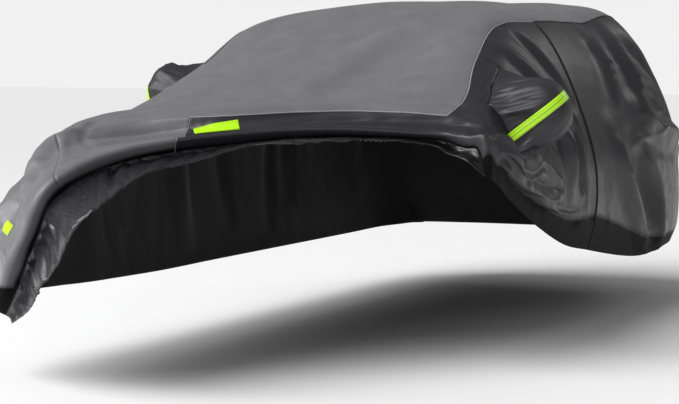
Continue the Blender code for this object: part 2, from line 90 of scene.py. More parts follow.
# The front edge, right to left: its hem, its overhanging lip, the ridge behind the lip, how deep the valley
# between them is, and how much of the tuck there is
FrontCut = namedtuple("FrontCut", "line hem lip ridge valley tuck")
FRONT = [FrontCut(*row) for row in (
    (-HEM, (-0.710, -1.925, 0.235), (-0.820, -1.875, 0.270), (-0.890, -1.700, 0.300), 0.0, 0.3),
    (-BORDER, (-0.560, -2.030, 0.315), (-0.730, -1.940, 0.375), (-0.900, -1.740, 0.390), 0.0, 0.8),
    (-BELT, (-0.330, -2.190, 0.505), (-0.530, -2.105, 0.570), (-0.785, -1.860, 0.640), 0.0, 1.0),
    (-SEAM, (-0.130, -2.200, 0.735), (-0.370, -2.120, 0.800), (-0.610, -1.730, 0.920), 0.006, 1.0),
    (-CROWN, (-0.130, -1.820, 0.822), (-0.260, -1.840, 0.895), (-0.400, -1.520, 0.985), 0.032, 1.0),
    (0.0, (0.020, -1.610, 0.880), (-0.045, -1.580, 0.940), (-0.090, -1.380, 1.008), 0.040, 1.0),
    (CROWN, (0.300, -1.330, 0.936), (0.300, -1.310, 0.968), (0.280, -1.130, 1.025), 0.026, 0.8),
    (SEAM, (0.600, -1.090, 0.912), (0.610, -1.070, 0.944), (0.680, -0.960, 1.012), 0.010, 0.6),
    (BELT, (0.740, -1.090, 0.874), (0.790, -1.065, 0.932), (0.860, -0.930, 0.945), 0.004, 0.5),
    (BORDER, (0.845, -1.110, 0.835), (0.890, -1.075, 0.892), (0.920, -0.970, 0.880), 0.0, 0.3),
    (HEM, (0.882, -1.090, 0.798), (0.900, -1.060, 0.782), (0.900, -0.970, 0.748), 0.0, 0.1),
)]
FRONT_ROWS = ("hem", "tuck", "lip", "valley", "ridge")
CELLS_FRONT = (4, 8, 14, 14, 24)     # faces from each of those rows to the next
FINE_ALONG = 5           # faces for each of a section's cells

# One side of a section: (out, along, up) at the panel seam, the belt and the hem, and the hem band's height
Side = namedtuple("Side", "seam belt hem band")
Section = namedtuple("Section", "name cells middle right left")


def even(name, cells, middle, side):
    """A section that is alike on both sides."""
    return Section(name, cells, middle, side, side)


# Sections from the foot of the windscreen to the hem at the tail; cells are the faces to the next one
SECTIONS = (
    Section("cowl", 7, (-0.920, 1.070),
            Side((0.760, -0.980, 1.010), (0.910, -1.000, 0.720), (0.885, -1.000, 0.290), 0.10),
            Side((0.690, -0.780, 1.085), (0.880, -0.740, 0.888), (0.885, -0.830, 0.692), 0.09)),
    Section("screen", 7, (-0.450, 1.290),
            Side((0.665, -0.500, 1.205), (0.900, -0.500, 0.900), (0.885, -0.500, 0.280), 0.10),
            Side((0.638, -0.548, 1.224), (0.870, -0.450, 0.930), (0.880, -0.530, 0.570), 0.10)),
    Section("header", 6, (-0.080, 1.440),
            Side((0.635, -0.200, 1.350), (0.895, -0.100, 0.910), (0.885, -0.050, 0.280), 0.10),
            Side((0.594, -0.193, 1.372), (0.885, -0.080, 0.910), (0.875, -0.120, 0.440), 0.10)),
    Section("peak", 6, (0.350, 1.485),
            Side((0.620, 0.200, 1.393), (0.895, 0.350, 0.910), (0.880, 0.350, 0.280), 0.10),
            Side((0.620, 0.200, 1.393), (0.885, 0.190, 0.900), (0.875, 0.200, 0.385), 0.12)),
    even("roof", 5, (1.100, 1.485),
         Side((0.600, 0.900, 1.390), (0.895, 1.000, 0.920), (0.870, 1.000, 0.280), 0.10)),
    even("roof end", 4, (1.800, 1.440),
         Side((0.585, 1.560, 1.385), (0.875, 1.500, 0.950), (0.855, 1.500, 0.282), 0.09)),
    even("tailgate", 4, (2.030, 1.100),
         Side((0.530, 1.940, 1.060), (0.800, 1.800, 0.850), (0.820, 1.750, 0.290), 0.09)),
    even("bumper", 3, (2.120, 0.720),
         Side((0.440, 2.070, 0.700), (0.700, 1.970, 0.660), (0.760, 1.880, 0.295), 0.09)),
    even("tail band", 2, (2.125, 0.390),
         Side((0.350, 2.105, 0.390), (0.500, 2.085, 0.390), (0.700, 1.960, 0.300), 0.085)),
    even("tail hem", 0, (2.105, 0.300),
         Side((0.330, 2.090, 0.300), (0.480, 2.070, 0.300), (0.660, 1.990, 0.300), 0.0)),
)
ROW_NAMES = FRONT_ROWS + tuple(section.name for section in SECTIONS)
CELLS_ALONG = CELLS_FRONT + tuple(FINE_ALONG * section.cells for section in SECTIONS if section.cells)
LIP, VALLEY, RIDGE, COWL, SCREEN, HEADER, PEAK, ROOF, ROOF_END, TAILGATE, BUMPER = range(2, 13)

# Folds: start, bend and end as (line across, row along), half width and depth; a trough's depth is negative
Fold = namedtuple("Fold", "start bend end width depth")
SPINE = 25               # points along the line that a fold follows
FOLDS_START = 0.8        # folds and creases come in over this share of the row behind the lip
FOLDS = [Fold(*row) for row in (
    # the pulled cloth on the right front corner
    ((-0.30, RIDGE + 0.1), (-0.42, VALLEY + 0.6), (-0.52, LIP + 0.3), 0.085, 0.036),
    ((-0.40, RIDGE + 0.3), (-0.52, RIDGE), (-0.63, LIP + 0.5), 0.075, -0.034),
    ((-0.50, RIDGE + 0.2), (-0.68, VALLEY + 0.6), (-0.80, LIP + 0.3), 0.085, 0.034),
    ((-0.20, COWL), (-0.32, RIDGE + 0.4), (-0.40, RIDGE - 0.1), 0.100, 0.010),
    # the long slack trough over the lower left of the windscreen
    ((0.00, COWL + 0.05), (0.13, COWL + 0.65), (0.28, SCREEN + 0.2), 0.240, -0.036),
    ((-0.06, COWL - 0.05), (0.04, COWL + 0.70), (0.16, SCREEN + 0.5), 0.130, 0.016),
    # layered folds of the pulled-up hem on the left side, upper to lower
    ((0.56, VALLEY + 0.5), (0.82, RIDGE + 0.15), (0.82, COWL + 0.70), 0.045, 0.008),
    ((0.84, RIDGE + 0.2), (0.90, COWL + 0.05), (0.83, SCREEN), 0.055, 0.030),
    ((0.90, COWL + 0.3), (0.90, SCREEN + 0.1), (0.83, SCREEN + 0.6), 0.060, 0.034),
    # soft upright folds between the mirror and the zip
    ((0.56, HEADER - 0.10), (0.67, SCREEN + 0.75), (0.81, SCREEN + 0.90), 0.075, 0.042),
    ((0.60, HEADER + 0.40), (0.70, HEADER + 0.30), (0.83, HEADER + 0.45), 0.065, -0.034),
    ((0.40, SCREEN + 0.60), (0.50, HEADER - 0.15), (0.60, HEADER + 0.30), 0.080, 0.030),
    ((0.38, HEADER + 0.10), (0.46, HEADER + 0.40), (0.56, HEADER + 0.70), 0.070, -0.026),
    # long folds from the roof seam down and back over the left rear
    ((0.40, ROOF - 0.15), (0.48, ROOF - 0.25), (0.60, ROOF - 0.40), 0.110, 0.040),
    ((0.40, ROOF + 0.33), (0.51, ROOF + 0.15), (0.64, ROOF), 0.110, 0.046),
    ((0.42, ROOF + 0.45), (0.52, ROOF + 0.85), (0.66, ROOF_END + 0.4), 0.120, -0.050),
    ((0.58, ROOF - 0.10), (0.66, ROOF + 0.35), (0.70, ROOF_END + 0.5), 0.100, 0.040),
    ((0.62, PEAK + 0.40), (0.76, PEAK + 0.50), (0.90, ROOF), 0.120, 0.044),
    ((0.68, ROOF - 0.20), (0.80, ROOF + 0.18), (0.93, ROOF + 0.68), 0.120, 0.044),
    ((0.66, PEAK + 0.75), (0.78, PEAK + 0.85), (0.90, ROOF + 0.35), 0.100, -0.036),
    # plainer folds on the right side and over the tail
    ((-0.40, ROOF - 0.15), (-0.55, ROOF - 0.30), (-0.80, ROOF - 0.35), 0.120, 0.042),
    ((-0.40, ROOF + 0.40), (-0.55, ROOF + 0.70), (-0.80, ROOF_END + 0.3), 0.130, -0.046),
    ((-0.45, PEAK + 0.30), (-0.62, PEAK + 0.45), (-0.88, PEAK + 0.30), 0.110, 0.036),
    ((-0.45, HEADER + 0.30), (-0.62, HEADER + 0.40), (-0.85, HEADER + 0.50), 0.110, 0.038),
    ((-0.45, COWL + 0.10), (-0.62, COWL - 0.10), (-0.85, COWL - 0.20), 0.120, 0.040),
    ((-0.62, SCREEN + 0.50), (-0.74, SCREEN + 0.45), (-0.88, SCREEN + 0.50), 0.110, -0.038),
    ((0.24, ROOF_END + 0.3), (0.14, TAILGATE + 0.2), (0.20, BUMPER + 0.4), 0.130, -0.030),
    ((-0.20, ROOF_END + 0.3), (-0.13, TAILGATE + 0.3), (-0.20, BUMPER + 0.4), 0.130, -0.030),
)]

# A mirror pocket's rings beyond its mouth: way out, half length along the car, half height, and how far the
# ring has turned from the mouth's own outline and slant to an upright oval
Ring = namedtuple("Ring", "out along up oval")
POCKET_RINGS = [Ring(*row) for row in (
    (0.115, 0.125, 0.130, 0.20),
    (0.130, 0.135, 0.138, 0.55),
    (0.140, 0.135, 0.135, 1.00),
    (0.190, 0.115, 0.115, 1.00),
    (0.227, 0.082, 0.085, 1.00),
    (0.247, 0.045, 0.045, 1.00),
)]
POCKET_TIP = 0.254                       # way out of the closed end
POCKET_AXIS = Vector((0.970, 0.120))     # out and a little back
# The pockets: side, mouth from line to line and from row to row, how far, how wide and how high they
# reach, how much their axis rises, and their cloth before it is gathered, with its area
Pocket = namedtuple("Pocket", "name sign across along reach width height rise flat area")
POCKETS = (
    Pocket("mirror_pocket_left", 1, (0.43, 0.68), (COWL + 0.02, SCREEN + 0.26), 0.92, 1.10, 0.98, 0.31,
           (0.46, 0.58), 0.232),
    Pocket("mirror_pocket_right", -1, (0.43, 0.60), (COWL + 0.85, SCREEN + 0.45), 0.56, 0.84, 0.94, 0.20,
           (0.36, 0.34), 0.115),
)

# A strip: the piece it is sewn on, its two ends, the way that it faces, and its width
Strip = namedtuple("Strip", "name host start end faces width")
STRIPS = (
    Strip("strip_nose", "side_left_front", (-0.165, -1.474, 0.967), (-0.023, -1.370, 0.987),
          (0.30, -0.57, 0.76), 0.042),
    Strip("strip_corner_right", "side_right", (-0.674, -1.967, 0.592), (-0.736, -1.932, 0.610),
          (-0.45, -0.85, 0.25), 0.045),
    Strip("strip_mirror_left", "mirror_pocket_left", (0.922, -0.795, 0.946),
          (1.028, -0.548, 1.092), (0.68, -0.66, 0.30), 0.038),
    Strip("strip_mirror_right", "mirror_pocket_right", (-0.935, -0.537, 1.106), (-0.938, -0.537, 1.040),
          (-0.60, -0.79, 0.12), 0.035),
)
CORNER_SEAM = -0.06      # line of the short seam beside the nose strip

STRIP_STEPS, STRIP_ACROSS, ZIP_ACROSS = 40, 6, 4     # faces along and across a strip, and across the zip
STRIP_LINE = 0.004       # width of the grey line along a mirror strip
STRIP_GAP = 0.0012       # a strip clears the cloth below it by this much
POCKET_ROWS = 34         # rows of faces from a pocket's mouth to its tip
ZIP_GAP = 0.0015         # the zip's tape clears the cloth by this much
ZIP_COIL = 0.0022        # radius of the zip's coil
COIL_RISE = 0.0006       # and the height of its middle over the tape
PIPING_SEAT = 0.25       # the piping's middle stands out of the seam by this share of its radius
CORD_IN = 0.001          # the hem's elastic lies this much inside the band's outer face

# The gathered hem band, and the hem band of the sides and the tail
BAND_STEP = 0.0045       # length of the gathered band's faces along the hem
BAND_ROWS = 14           # and their number from hem to tuck
SHIRRED_TO = 0.5         # it is gathered up to this line, and plainer beyond it
SHIRRED_SHADE_LINES = (0.15, 0.42)  # between these lines it turns near black toward the left: painted shade under the roll
TAIL_BAND = 0.075        # height of the hem band at the tail
UNDER_LIP = LIP - 0.45   # below this row, under the lip, the panels turn near black: painted shade
# Where the hem band's painted shade begins on the left: rows, and its line at each of them
BAND_LEFT = ((2.0, 3.0, 5.2, 6.15, 6.6, 7.2, 8.0, 8.5, 9.0, 12.0),
             (0.91, 0.94, 0.935, 0.92, 0.905, 0.885, 0.87, 0.88, 0.90, 0.95))
BAND_EDGE = 0.014        # over this much the band's painted shade comes in
BAND_EARLY = 0.008       # beginning this much before its border

FLOOR_HALF = 40.0        # half the floor's length
# The camera: place, turn to the left, tilt down and lens in millimetres
CAMERA_PLACE = (3.6034, -8.1095, 1.2990)
CAMERA_TURN, CAMERA_DOWN, CAMERA_LENS = 0.4426, 0.0807, 104.28

# Sharp creases: as folds, but coming to an edge that may lean over
Crease = namedtuple("Crease", Fold._fields + ("lean",), defaults=(0.0,))
CREASES = [Crease(*row) for row in (
    # the corner pulled up: nested folds under the left mirror, each leaning over the next
    ((0.90, RIDGE - 0.1), (0.80, COWL + 0.38), (0.730, COWL + 0.95), 0.030, 0.018, 1.0),
    ((0.60, VALLEY + 0.60), (0.755, RIDGE + 0.35), (0.715, COWL + 0.55), 0.034, -0.014),
    ((0.90, VALLEY + 0.5), (0.868, COWL + 0.1), (0.795, COWL + 0.95), 0.028, 0.018, 1.0),
    ((0.945, VALLEY + 0.6), (0.925, RIDGE + 0.9), (0.868, SCREEN + 0.45), 0.028, 0.018, 1.0),
    ((0.86, COWL + 0.2), (0.85, COWL + 0.85), (0.82, SCREEN + 0.55), 0.045, -0.020),
    ((0.93, COWL + 0.9), (0.893, SCREEN + 0.45), (0.865, HEADER + 0.15), 0.020, 0.014, 1.4),
    ((0.90, SCREEN + 0.1), (0.870, SCREEN + 0.75), (0.850, HEADER + 0.35), 0.018, -0.008),
    ((0.745, COWL + 0.85), (0.770, SCREEN + 0.25), (0.80, SCREEN + 0.62), 0.026, 0.012),
    ((0.66, SCREEN + 0.35), (0.72, SCREEN + 0.48), (0.79, SCREEN + 0.62), 0.030, 0.013),
    ((0.925, HEADER + 0.1), (0.905, HEADER + 0.35), (0.885, HEADER + 0.70), 0.026, 0.010, 0.5),
    # the short dart from the panel seam to the pocket
    ((0.372, SCREEN + 0.15), (0.41, SCREEN + 0.19), (0.45, SCREEN + 0.23), 0.012, -0.008),
    # upright creases between pocket and zip
    ((0.575, HEADER + 0.12), (0.675, SCREEN + 0.75), (0.80, SCREEN + 0.88), 0.030, 0.010),
    ((0.613, HEADER + 0.53), (0.70, HEADER + 0.33), (0.812, HEADER + 0.45), 0.026, 0.009),
    ((0.50, HEADER + 0.50), (0.58, HEADER + 0.60), (0.68, HEADER + 0.72), 0.024, 0.007),
    # long creases over the left rear
    ((0.413, ROOF - 0.12), (0.488, ROOF - 0.27), (0.562, ROOF - 0.38), 0.032, 0.012),
    ((0.413, ROOF + 0.33), (0.513, ROOF + 0.15), (0.60, ROOF), 0.032, 0.013),
    ((0.438, ROOF + 0.43), (0.50, ROOF + 0.83), (0.638, ROOF_END + 0.40), 0.036, -0.014),
    ((0.60, ROOF - 0.10), (0.65, ROOF + 0.33), (0.688, ROOF_END + 0.47), 0.034, 0.013),
    ((0.66, ROOF - 0.30), (0.66, ROOF + 0.33), (0.56, ROOF_END), 0.028, 0.009),
    ((0.625, PEAK + 0.40), (0.763, PEAK + 0.50), (0.90, ROOF + 0.03), 0.036, 0.013),
    ((0.688, PEAK + 0.80), (0.80, ROOF + 0.18), (0.95, ROOF + 0.68), 0.036, 0.013),
    ((0.74, PEAK + 0.15), (0.83, PEAK + 0.22), (0.92, PEAK + 0.30), 0.030, 0.009),
    # the roll over the bonnet: its sharp ridge, a second one below it, and the hollow between the two
    ((-0.44, RIDGE), (0.0, RIDGE), (0.42, RIDGE), 0.022, 0.010),
    ((-0.32, VALLEY), (-0.14, VALLEY), (0.04, VALLEY), 0.018, 0.010),
    ((-0.30, VALLEY + 0.58), (-0.15, VALLEY + 0.52), (-0.03, VALLEY + 0.58), 0.038, -0.030),
    ((0.05, VALLEY + 0.30), (0.20, VALLEY + 0.55), (0.34, VALLEY + 0.75), 0.022, 0.007),
    ((0.36, VALLEY + 0.20), (0.46, VALLEY + 0.60), (0.55, RIDGE + 0.30), 0.024, 0.007),
    # the right front corner: facets that catch the light, and the flap over the strip
    ((-0.45, VALLEY + 0.6), (-0.42, VALLEY), (-0.40, LIP + 0.35), 0.036, 0.010),
    ((-0.56, VALLEY + 0.2), (-0.48, LIP + 0.9), (-0.41, LIP + 0.25), 0.030, 0.012, 0.4),
    ((-0.56, VALLEY), (-0.52, LIP + 0.7), (-0.46, LIP + 0.2), 0.030, -0.010),
    ((-0.585, VALLEY + 0.3), (-0.58, LIP + 0.7), (-0.53, LIP + 0.2), 0.018, 0.010, 0.6),
    ((-0.72, VALLEY + 0.1), (-0.735, LIP + 0.5), (-0.77, LIP + 0.2), 0.020, 0.014),
    ((-0.80, VALLEY + 0.2), (-0.86, LIP + 0.7), (-0.90, LIP + 0.3), 0.032, 0.014),
    ((-0.33, RIDGE), (-0.35, VALLEY + 0.3), (-0.34, LIP + 0.4), 0.030, 0.010),
    ((-0.27, RIDGE + 0.4), (-0.30, VALLEY + 0.6), (-0.26, LIP + 0.6), 0.030, -0.010),
    ((-0.22, RIDGE + 0.5), (-0.30, RIDGE + 0.1), (-0.38, VALLEY + 0.7), 0.024, 0.010),
    ((-0.10, RIDGE + 0.7), (-0.24, RIDGE + 0.35), (-0.40, RIDGE), 0.030, 0.009),
    # the right side and the tail, plainer
    ((-0.42, ROOF), (-0.58, ROOF - 0.15), (-0.85, ROOF - 0.25), 0.036, 0.010),
    ((-0.42, ROOF + 0.55), (-0.60, ROOF + 0.80), (-0.86, ROOF_END + 0.2), 0.036, -0.012),
    ((-0.42, HEADER + 0.10), (-0.62, HEADER + 0.15), (-0.88, HEADER + 0.30), 0.034, 0.009),
    ((-0.55, COWL + 0.30), (-0.70, COWL + 0.15), (-0.88, COWL + 0.10), 0.034, 0.010),
    ((0.10, TAILGATE - 0.3), (0.05, BUMPER - 0.4), (0.12, BUMPER + 0.9), 0.034, 0.009),
)]

# Crumpled patches: middle (line, row), reach, wrinkle size, how much longer than wide the wrinkles are and
# which way they run, and their depth
Crumple = namedtuple("Crumple", "line row reach size stretch run depth")
CRUMPLES = [Crumple(*row) for row in (
    (-0.50, VALLEY + 0.2, 0.55, 0.090, 2.2, (-0.6, -0.5, -0.5), 0.012),
    (-0.72, VALLEY, 0.40, 0.060, 1.8, (-0.3, -0.3, -0.9), 0.009),
    (-0.25, RIDGE - 0.2, 0.45, 0.080, 3.0, (0.8, 0.6, 0.1), 0.007),
    (0.28, VALLEY + 0.5, 0.50, 0.060, 3.0, (0.9, 0.4, 0.1), 0.006),
    (0.55, RIDGE + 0.2, 0.30, 0.060, 2.5, (0.7, 0.5, -0.3), 0.007),
    (0.50, SCREEN - 0.3, 0.30, 0.050, 2.0, (0.3, 0.6, 0.6), 0.008),
    (0.70, SCREEN + 0.2, 0.40, 0.070, 2.5, (0.1, 0.5, -0.8), 0.009),
    (0.78, HEADER + 0.3, 0.40, 0.080, 3.0, (0.0, 0.2, -1.0), 0.008),
    (0.55, ROOF, 0.80, 0.110, 3.0, (0.0, 0.45, -0.9), 0.011),
    (0.66, ROOF + 0.6, 0.60, 0.080, 2.0, (0.0, 0.7, -0.6), 0.010),
    (0.85, ROOF + 0.4, 0.50, 0.070, 2.4, (0.0, 0.8, -0.6), 0.008),
    (-0.65, ROOF, 1.10, 0.130, 3.0, (0.0, 0.3, -1.0), 0.012),
    (-0.70, COWL, 0.90, 0.110, 3.0, (0.0, 0.2, -1.0), 0.012),
    (0.0, BUMPER - 0.3, 0.80, 0.120, 3.0, (0.1, 0.1, -1.0), 0.008),
    (0.10, COWL + 0.6, 0.70, 0.160, 3.0, (0.8, 0.5, 0.3), 0.004),
)]

# ---------------- the surface

def unit(vector):
    return vector / np.linalg.norm(vector)


def front_rows():
    """The hem, the turned-under tuck, the lip, the valley and the ridge, each with a point per line."""
    hem, lip, ridge = (np.array([getattr(cut, row) for cut in FRONT]) for row in ("hem", "lip", "ridge"))
    tuck, valley = [], []
    for cut, run, low, edge, top in zip(FRONT, np.gradient(lip, axis=0), hem, lip, ridge):
        inward = unit(top - low)
        out = unit(np.cross(run, inward))
        curled = edge + TUCK_IN * inward - TUCK_DOWN * out
        tuck.append(cut.tuck * curled + (1 - cut.tuck) * (low + edge) / 2)
        valley.append(edge + VALLEY_AT * (top - edge) - cut.valley * out)
    return [hem, np.array(tuck), lip, np.array(valley), ridge]


def half_section(side, middle, sign):
    """One side of a section from hem to crown; the crown is nearly as high as the middle."""
    seam, belt, hem = (np.array((sign * out, along, up)) for out, along, up in side[:3])
    border = hem + np.array((sign * BAND_OUT, BAND_BACK, side.band))
    crown = middle + (seam - middle) * np.array(CROWN_AT)
    return [hem, border, belt, seam, crown]


def section_row(section):
    middle = np.array((0.0, *section.middle))
    right = half_section(section.right, middle, -1)
    left = half_section(section.left, middle, 1)
    return np.array(right + [middle] + left[::-1])


def smooth_through(stations, points, wanted):
    """A cubic curve through points at their stations, read at the wanted stations."""
    stations, points, wanted = (np.asarray(v, float) for v in (stations, points, wanted))
    gap = np.diff(stations)
    slope = np.diff(points, axis=0) / gap[:, None]
    tangent = np.empty_like(points)
    before, after = gap[:-1, None], gap[1:, None]
    tangent[1:-1] = (slope[:-1] * after + slope[1:] * before) / (before + after)
    tangent[0], tangent[-1] = slope[0], slope[-1]
    i = np.clip(np.searchsorted(stations, wanted, side="right") - 1, 0, len(gap) - 1)
    t = ((wanted - stations[i]) / gap[i])[:, None]
    h = gap[i][:, None]
    return ((2 * t**3 - 3 * t**2 + 1) * points[i] + (t**3 - 2 * t**2 + t) * h * tangent[i]
            + (3 * t**2 - 2 * t**3) * points[i + 1] + (t**3 - t**2) * h * tangent[i + 1])


def stations_of(across):
    """How far each row of points is from the first, on average."""
    step = np.linalg.norm(np.diff(across, axis=0), axis=2).mean(axis=1)
    return np.concatenate([[0.0], np.cumsum(step)])


def base_surface(lines, rows):
    """Points of the unfolded surface at every (row, line)."""
    guides = front_rows() + [section_row(section) for section in SECTIONS]
    across = np.array([smooth_through(LINES, guide, lines) for guide in guides])
    station = stations_of(across)
    at = np.interp(rows, np.arange(len(guides)), station)
    return np.stack([smooth_through(station, across[:, j], at) for j in range(len(lines))], axis=1)


def outward(points):
    """Unit normals of a grid of points, away from the car."""
    normal = np.cross(np.gradient(points, axis=1), np.gradient(points, axis=0))
    return normal / np.linalg.norm(normal, axis=2, keepdims=True)


def spread(marks, cells):
    """Stations from mark to mark with the given number of cells between them."""
    runs = [np.linspace(a, b, n, endpoint=False) for a, b, n in zip(marks, marks[1:], cells)]
    return np.concatenate(runs + [[marks[-1]]])


def near_fold(fold, points):
    """The points that a fold reaches, how far from its line each is as a share of its width, how far along
    the line the nearest place is, and which way the line runs there."""
    course = smooth_through((0.0, 0.5, 1.0), fold[:3], np.linspace(0.0, 1.0, SPINE))
    spine = np.array([base_surface([line], [row])[0, 0] for line, row in course])
    run = np.gradient(spine, axis=0)
    low, high = spine.min(axis=0) - fold.width, spine.max(axis=0) + fold.width
    near = np.all((points > low) & (points < high), axis=2)
    flat = points[near]
    at = np.linalg.norm(flat[:, None, :] - spine, axis=2).argmin(axis=1)
    place = at + np.clip(((flat - spine[at]) * run[at]).sum(axis=1) / (run[at] ** 2).sum(axis=1), -0.6, 0.6)
    place = np.clip(place, 0, SPINE - 1)
    foot, way = (np.stack([np.interp(place, range(SPINE), each[:, k]) for k in range(3)], axis=1)
                 for each in (spine, run))
    reach = np.clip(np.linalg.norm(flat - foot, axis=1) / fold.width, 0.0, 1.0)
    return near, reach, place / (SPINE - 1), way


def fold_lift(fold, points, normals):
    """A fold's lift at each point, which dies out at both ends. A fold is rounded, and a crease comes to an
    edge, which may lean over to one side."""
    near, reach, t, run = near_fold(fold, points)
    sharp = isinstance(fold, Crease)
    if sharp:
        profile, end = (1.0 - reach) ** 1.6, 0.03
    else:
        profile, end = 0.5 + 0.5 * np.cos(np.pi * reach), 0.06
    height = fold.depth * profile * np.sin(np.pi * np.clip(t, end, 1.0 - end)) ** 0.7
    way = normals[near]
    if sharp:
        side = np.cross(run, way)
        way = way + fold.lean * side / (np.linalg.norm(side, axis=1)[:, None] + 1e-9)
    lift = np.zeros_like(points)
    lift[near] = way * height[:, None]
    return lift


def crumple_height(crumple, points):
    """A patch of ridged wrinkles that run one way."""
    middle = base_surface([crumple.line], [crumple.row])[0, 0]
    reach = np.linalg.norm(points - middle, axis=2) / crumple.reach
    run = np.array(crumple.run) / np.linalg.norm(crumple.run)
    height = np.zeros(points.shape[:2])
    near = reach < 1.0
    flat = points[near]
    flat = (flat - np.outer(flat @ run, run) * (1.0 - 1.0 / crumple.stretch)) / crumple.size
    ridges = [0.36 - abs(noise.noise(Vector(p))) + 0.45 * (0.3 - abs(noise.noise(Vector(p * 2.1 + 7.3))))
              for p in flat]
    height[near] = crumple.depth * np.array(ridges) * (1.0 - reach[near] ** 2) ** 1.5
    return height


def hem_wave(lines, rows):
    """The slow wave of the front hem, which dies out toward the lip and to the left."""
    edge = np.clip(1.0 - rows[:, None] / LIP, 0.0, 1.0) * np.clip(5 * (HEM_WAVES_END - lines), 0.0, 1.0)
    return HEM_RIPPLE * edge * np.sin(np.pi * HEM_WAVES * lines)


def lengths(points, axis):
    """How far each point of a grid is from its first row or line, along the cloth."""
    step = np.linalg.norm(np.diff(points, axis=axis), axis=2)
    start = np.zeros_like(step.take([0], axis=axis))
    return np.cumsum(np.concatenate([start, step], axis=axis), axis=axis)


Grid = namedtuple("Grid", "lines rows points normals across along shiny")


def finished_grid(lines, rows, points):
    """A grid of the cover's surface in the part's own frame, with what its pieces need at each point."""
    along = lengths(points, 0)
    # band mix: past the side hem band's border, under the lip and along the tail the colour goes to near
    # black, painted shade of the folds above and of the car left out
    border = np.where(lines > 0.0, np.interp(rows, *BAND_LEFT)[:, None], BORDER)
    past_border = (np.abs(lines) - border + BAND_EARLY) / BAND_EDGE
    under_lip = ((UNDER_LIP - rows) / 0.25)[:, None]
    at_tail = (along - along[-1] + TAIL_BAND) / BAND_EDGE
    shiny = np.clip(np.maximum(np.maximum(past_border, under_lip), at_tail), 0.0, 1.0)
    return Grid(lines, rows, points, outward(points), lengths(points, 1), along, shiny)


def draped_grid(wrinkles):
    """The whole cover's outer surface with its folds, creases and crumples."""
    lines = spread(LINES, CELLS_ACROSS)
    rows = spread(range(len(ROW_NAMES)), CELLS_ALONG)
    base = base_surface(lines, rows)
    normals = outward(base)
    lift = sum(fold_lift(fold, base, normals) for fold in FOLDS)
    fine = sum(fold_lift(crease, base, normals) for crease in CREASES)
    fine = fine + normals * sum(crumple_height(crumple, base) for crumple in CRUMPLES)[:, :, None]
    lift = (lift + wrinkles * fine) * np.clip((rows - LIP) / FOLDS_START, 0.0, 1.0)[:, None, None]
    lift += normals * hem_wave(lines, rows)[:, :, None]
    return finished_grid(lines, rows, base + lift - np.array(ROOF_REST))


def band_grid(depth, pitch):
    """The gathered band between the front hem and the tuck under the lip, with its uneven shirring."""
    guide = base_surface(spread(LINES, CELLS_ACROSS), [0.0])
    count = int(lengths(guide, 1)[0, -1] / BAND_STEP)
    lines = np.linspace(-HEM, HEM, count)
    rows = np.linspace(0.0, 1.0, BAND_ROWS + 1)
    base = base_surface(lines, rows)
    at = lengths(base, 1)
    fade = np.sin(np.pi * np.clip(0.05 + 0.9 * rows, 0, 1))[:, None] ** 0.6
    gathered = np.interp(lines, (-HEM, 0.12 - HEM, SHIRRED_TO - 0.2, SHIRRED_TO), (0.0, 1.0, 1.0, 0.15))
    waves = np.zeros_like(at)
    for i, row in enumerate(rows):
        for j, along in enumerate(at[i]):
            drift = 0.030 * noise.noise(Vector((along * 6.0, row * 1.5, 0.5)))
            broad = 0.32 - abs(noise.noise(Vector(((along + drift) / (1.5 * pitch), row * 1.2, 3.1))))
            swell = 0.5 + 1.2 * abs(noise.noise(Vector((along * 5.0, 0.3 * row, 7.7))))
            pleat = 0.30 - abs(noise.noise(Vector(((along + 1.5 * drift) / (0.7 * pitch), row * 0.5, 1.7))))
            crinkle = 0.30 - abs(noise.noise(Vector((along * 42.0, row * 2.6, 9.2))))
            waves[i, j] = (1.0 + 2.0 * row) * broad + (3.0 - 2.0 * row) * swell * pleat + 0.3 * crinkle
    lift = hem_wave(lines, rows) + depth * fade * gathered * waves
    grid = finished_grid(lines, rows, base + outward(base) * lift[:, :, None] - np.array(ROOF_REST))
    # painted shade: the band mix falls from 1 to 0 between those lines, so toward the left the band takes
    # the near black instead of its gathered cloth's colour
    return grid._replace(shiny=np.ones_like(at) * np.interp(lines, SHIRRED_SHADE_LINES, (1.0, 0.0)))


# ---------------- materials

def add(tree, kind, values=None, links=None, **settings):
    """Adds a shader node with its settings, its sockets' values and its links. A linked node gives its
    first output."""
    node = tree.nodes.new("ShaderNode" + kind)
    for name, value in settings.items():
        setattr(node, name, value)
    for name, value in (values or {}).items():
        node.inputs[name].default_value = value
    for name, source in (links or {}).items():
        given = source if isinstance(source, bpy.types.NodeSocket) else source.outputs[0]
        tree.links.new(given, node.inputs[name])
    return node


def new_material(name, sockets):
    """A material, its tree, and its one shader, whose own sockets hold what is the same all over."""
    made = bpy.data.materials.new(name)
    made.use_nodes = True
    tree = made.node_tree
    tree.nodes.clear()
    shader = add(tree, "BsdfPrincipled", sockets)
    add(tree, "OutputMaterial", links={"Surface": shader})
    return made, tree, shader


def dress(tree, shader, colour, tone, bump):
    """Gives the shader its colour, made lighter and darker by a tone, and its bump."""
    shade = add(tree, "VectorMath", links={"Scale": tone}, operation="SCALE")
    if isinstance(colour, bpy.types.NodeSocket):
        tree.links.new(colour, shade.inputs[0])
    else:
        shade.inputs[0].default_value = colour[:3]
    tree.links.new(shade.outputs[0], shader.inputs["Base Color"])
    tree.links.new(bump.outputs[0], shader.inputs["Normal"])


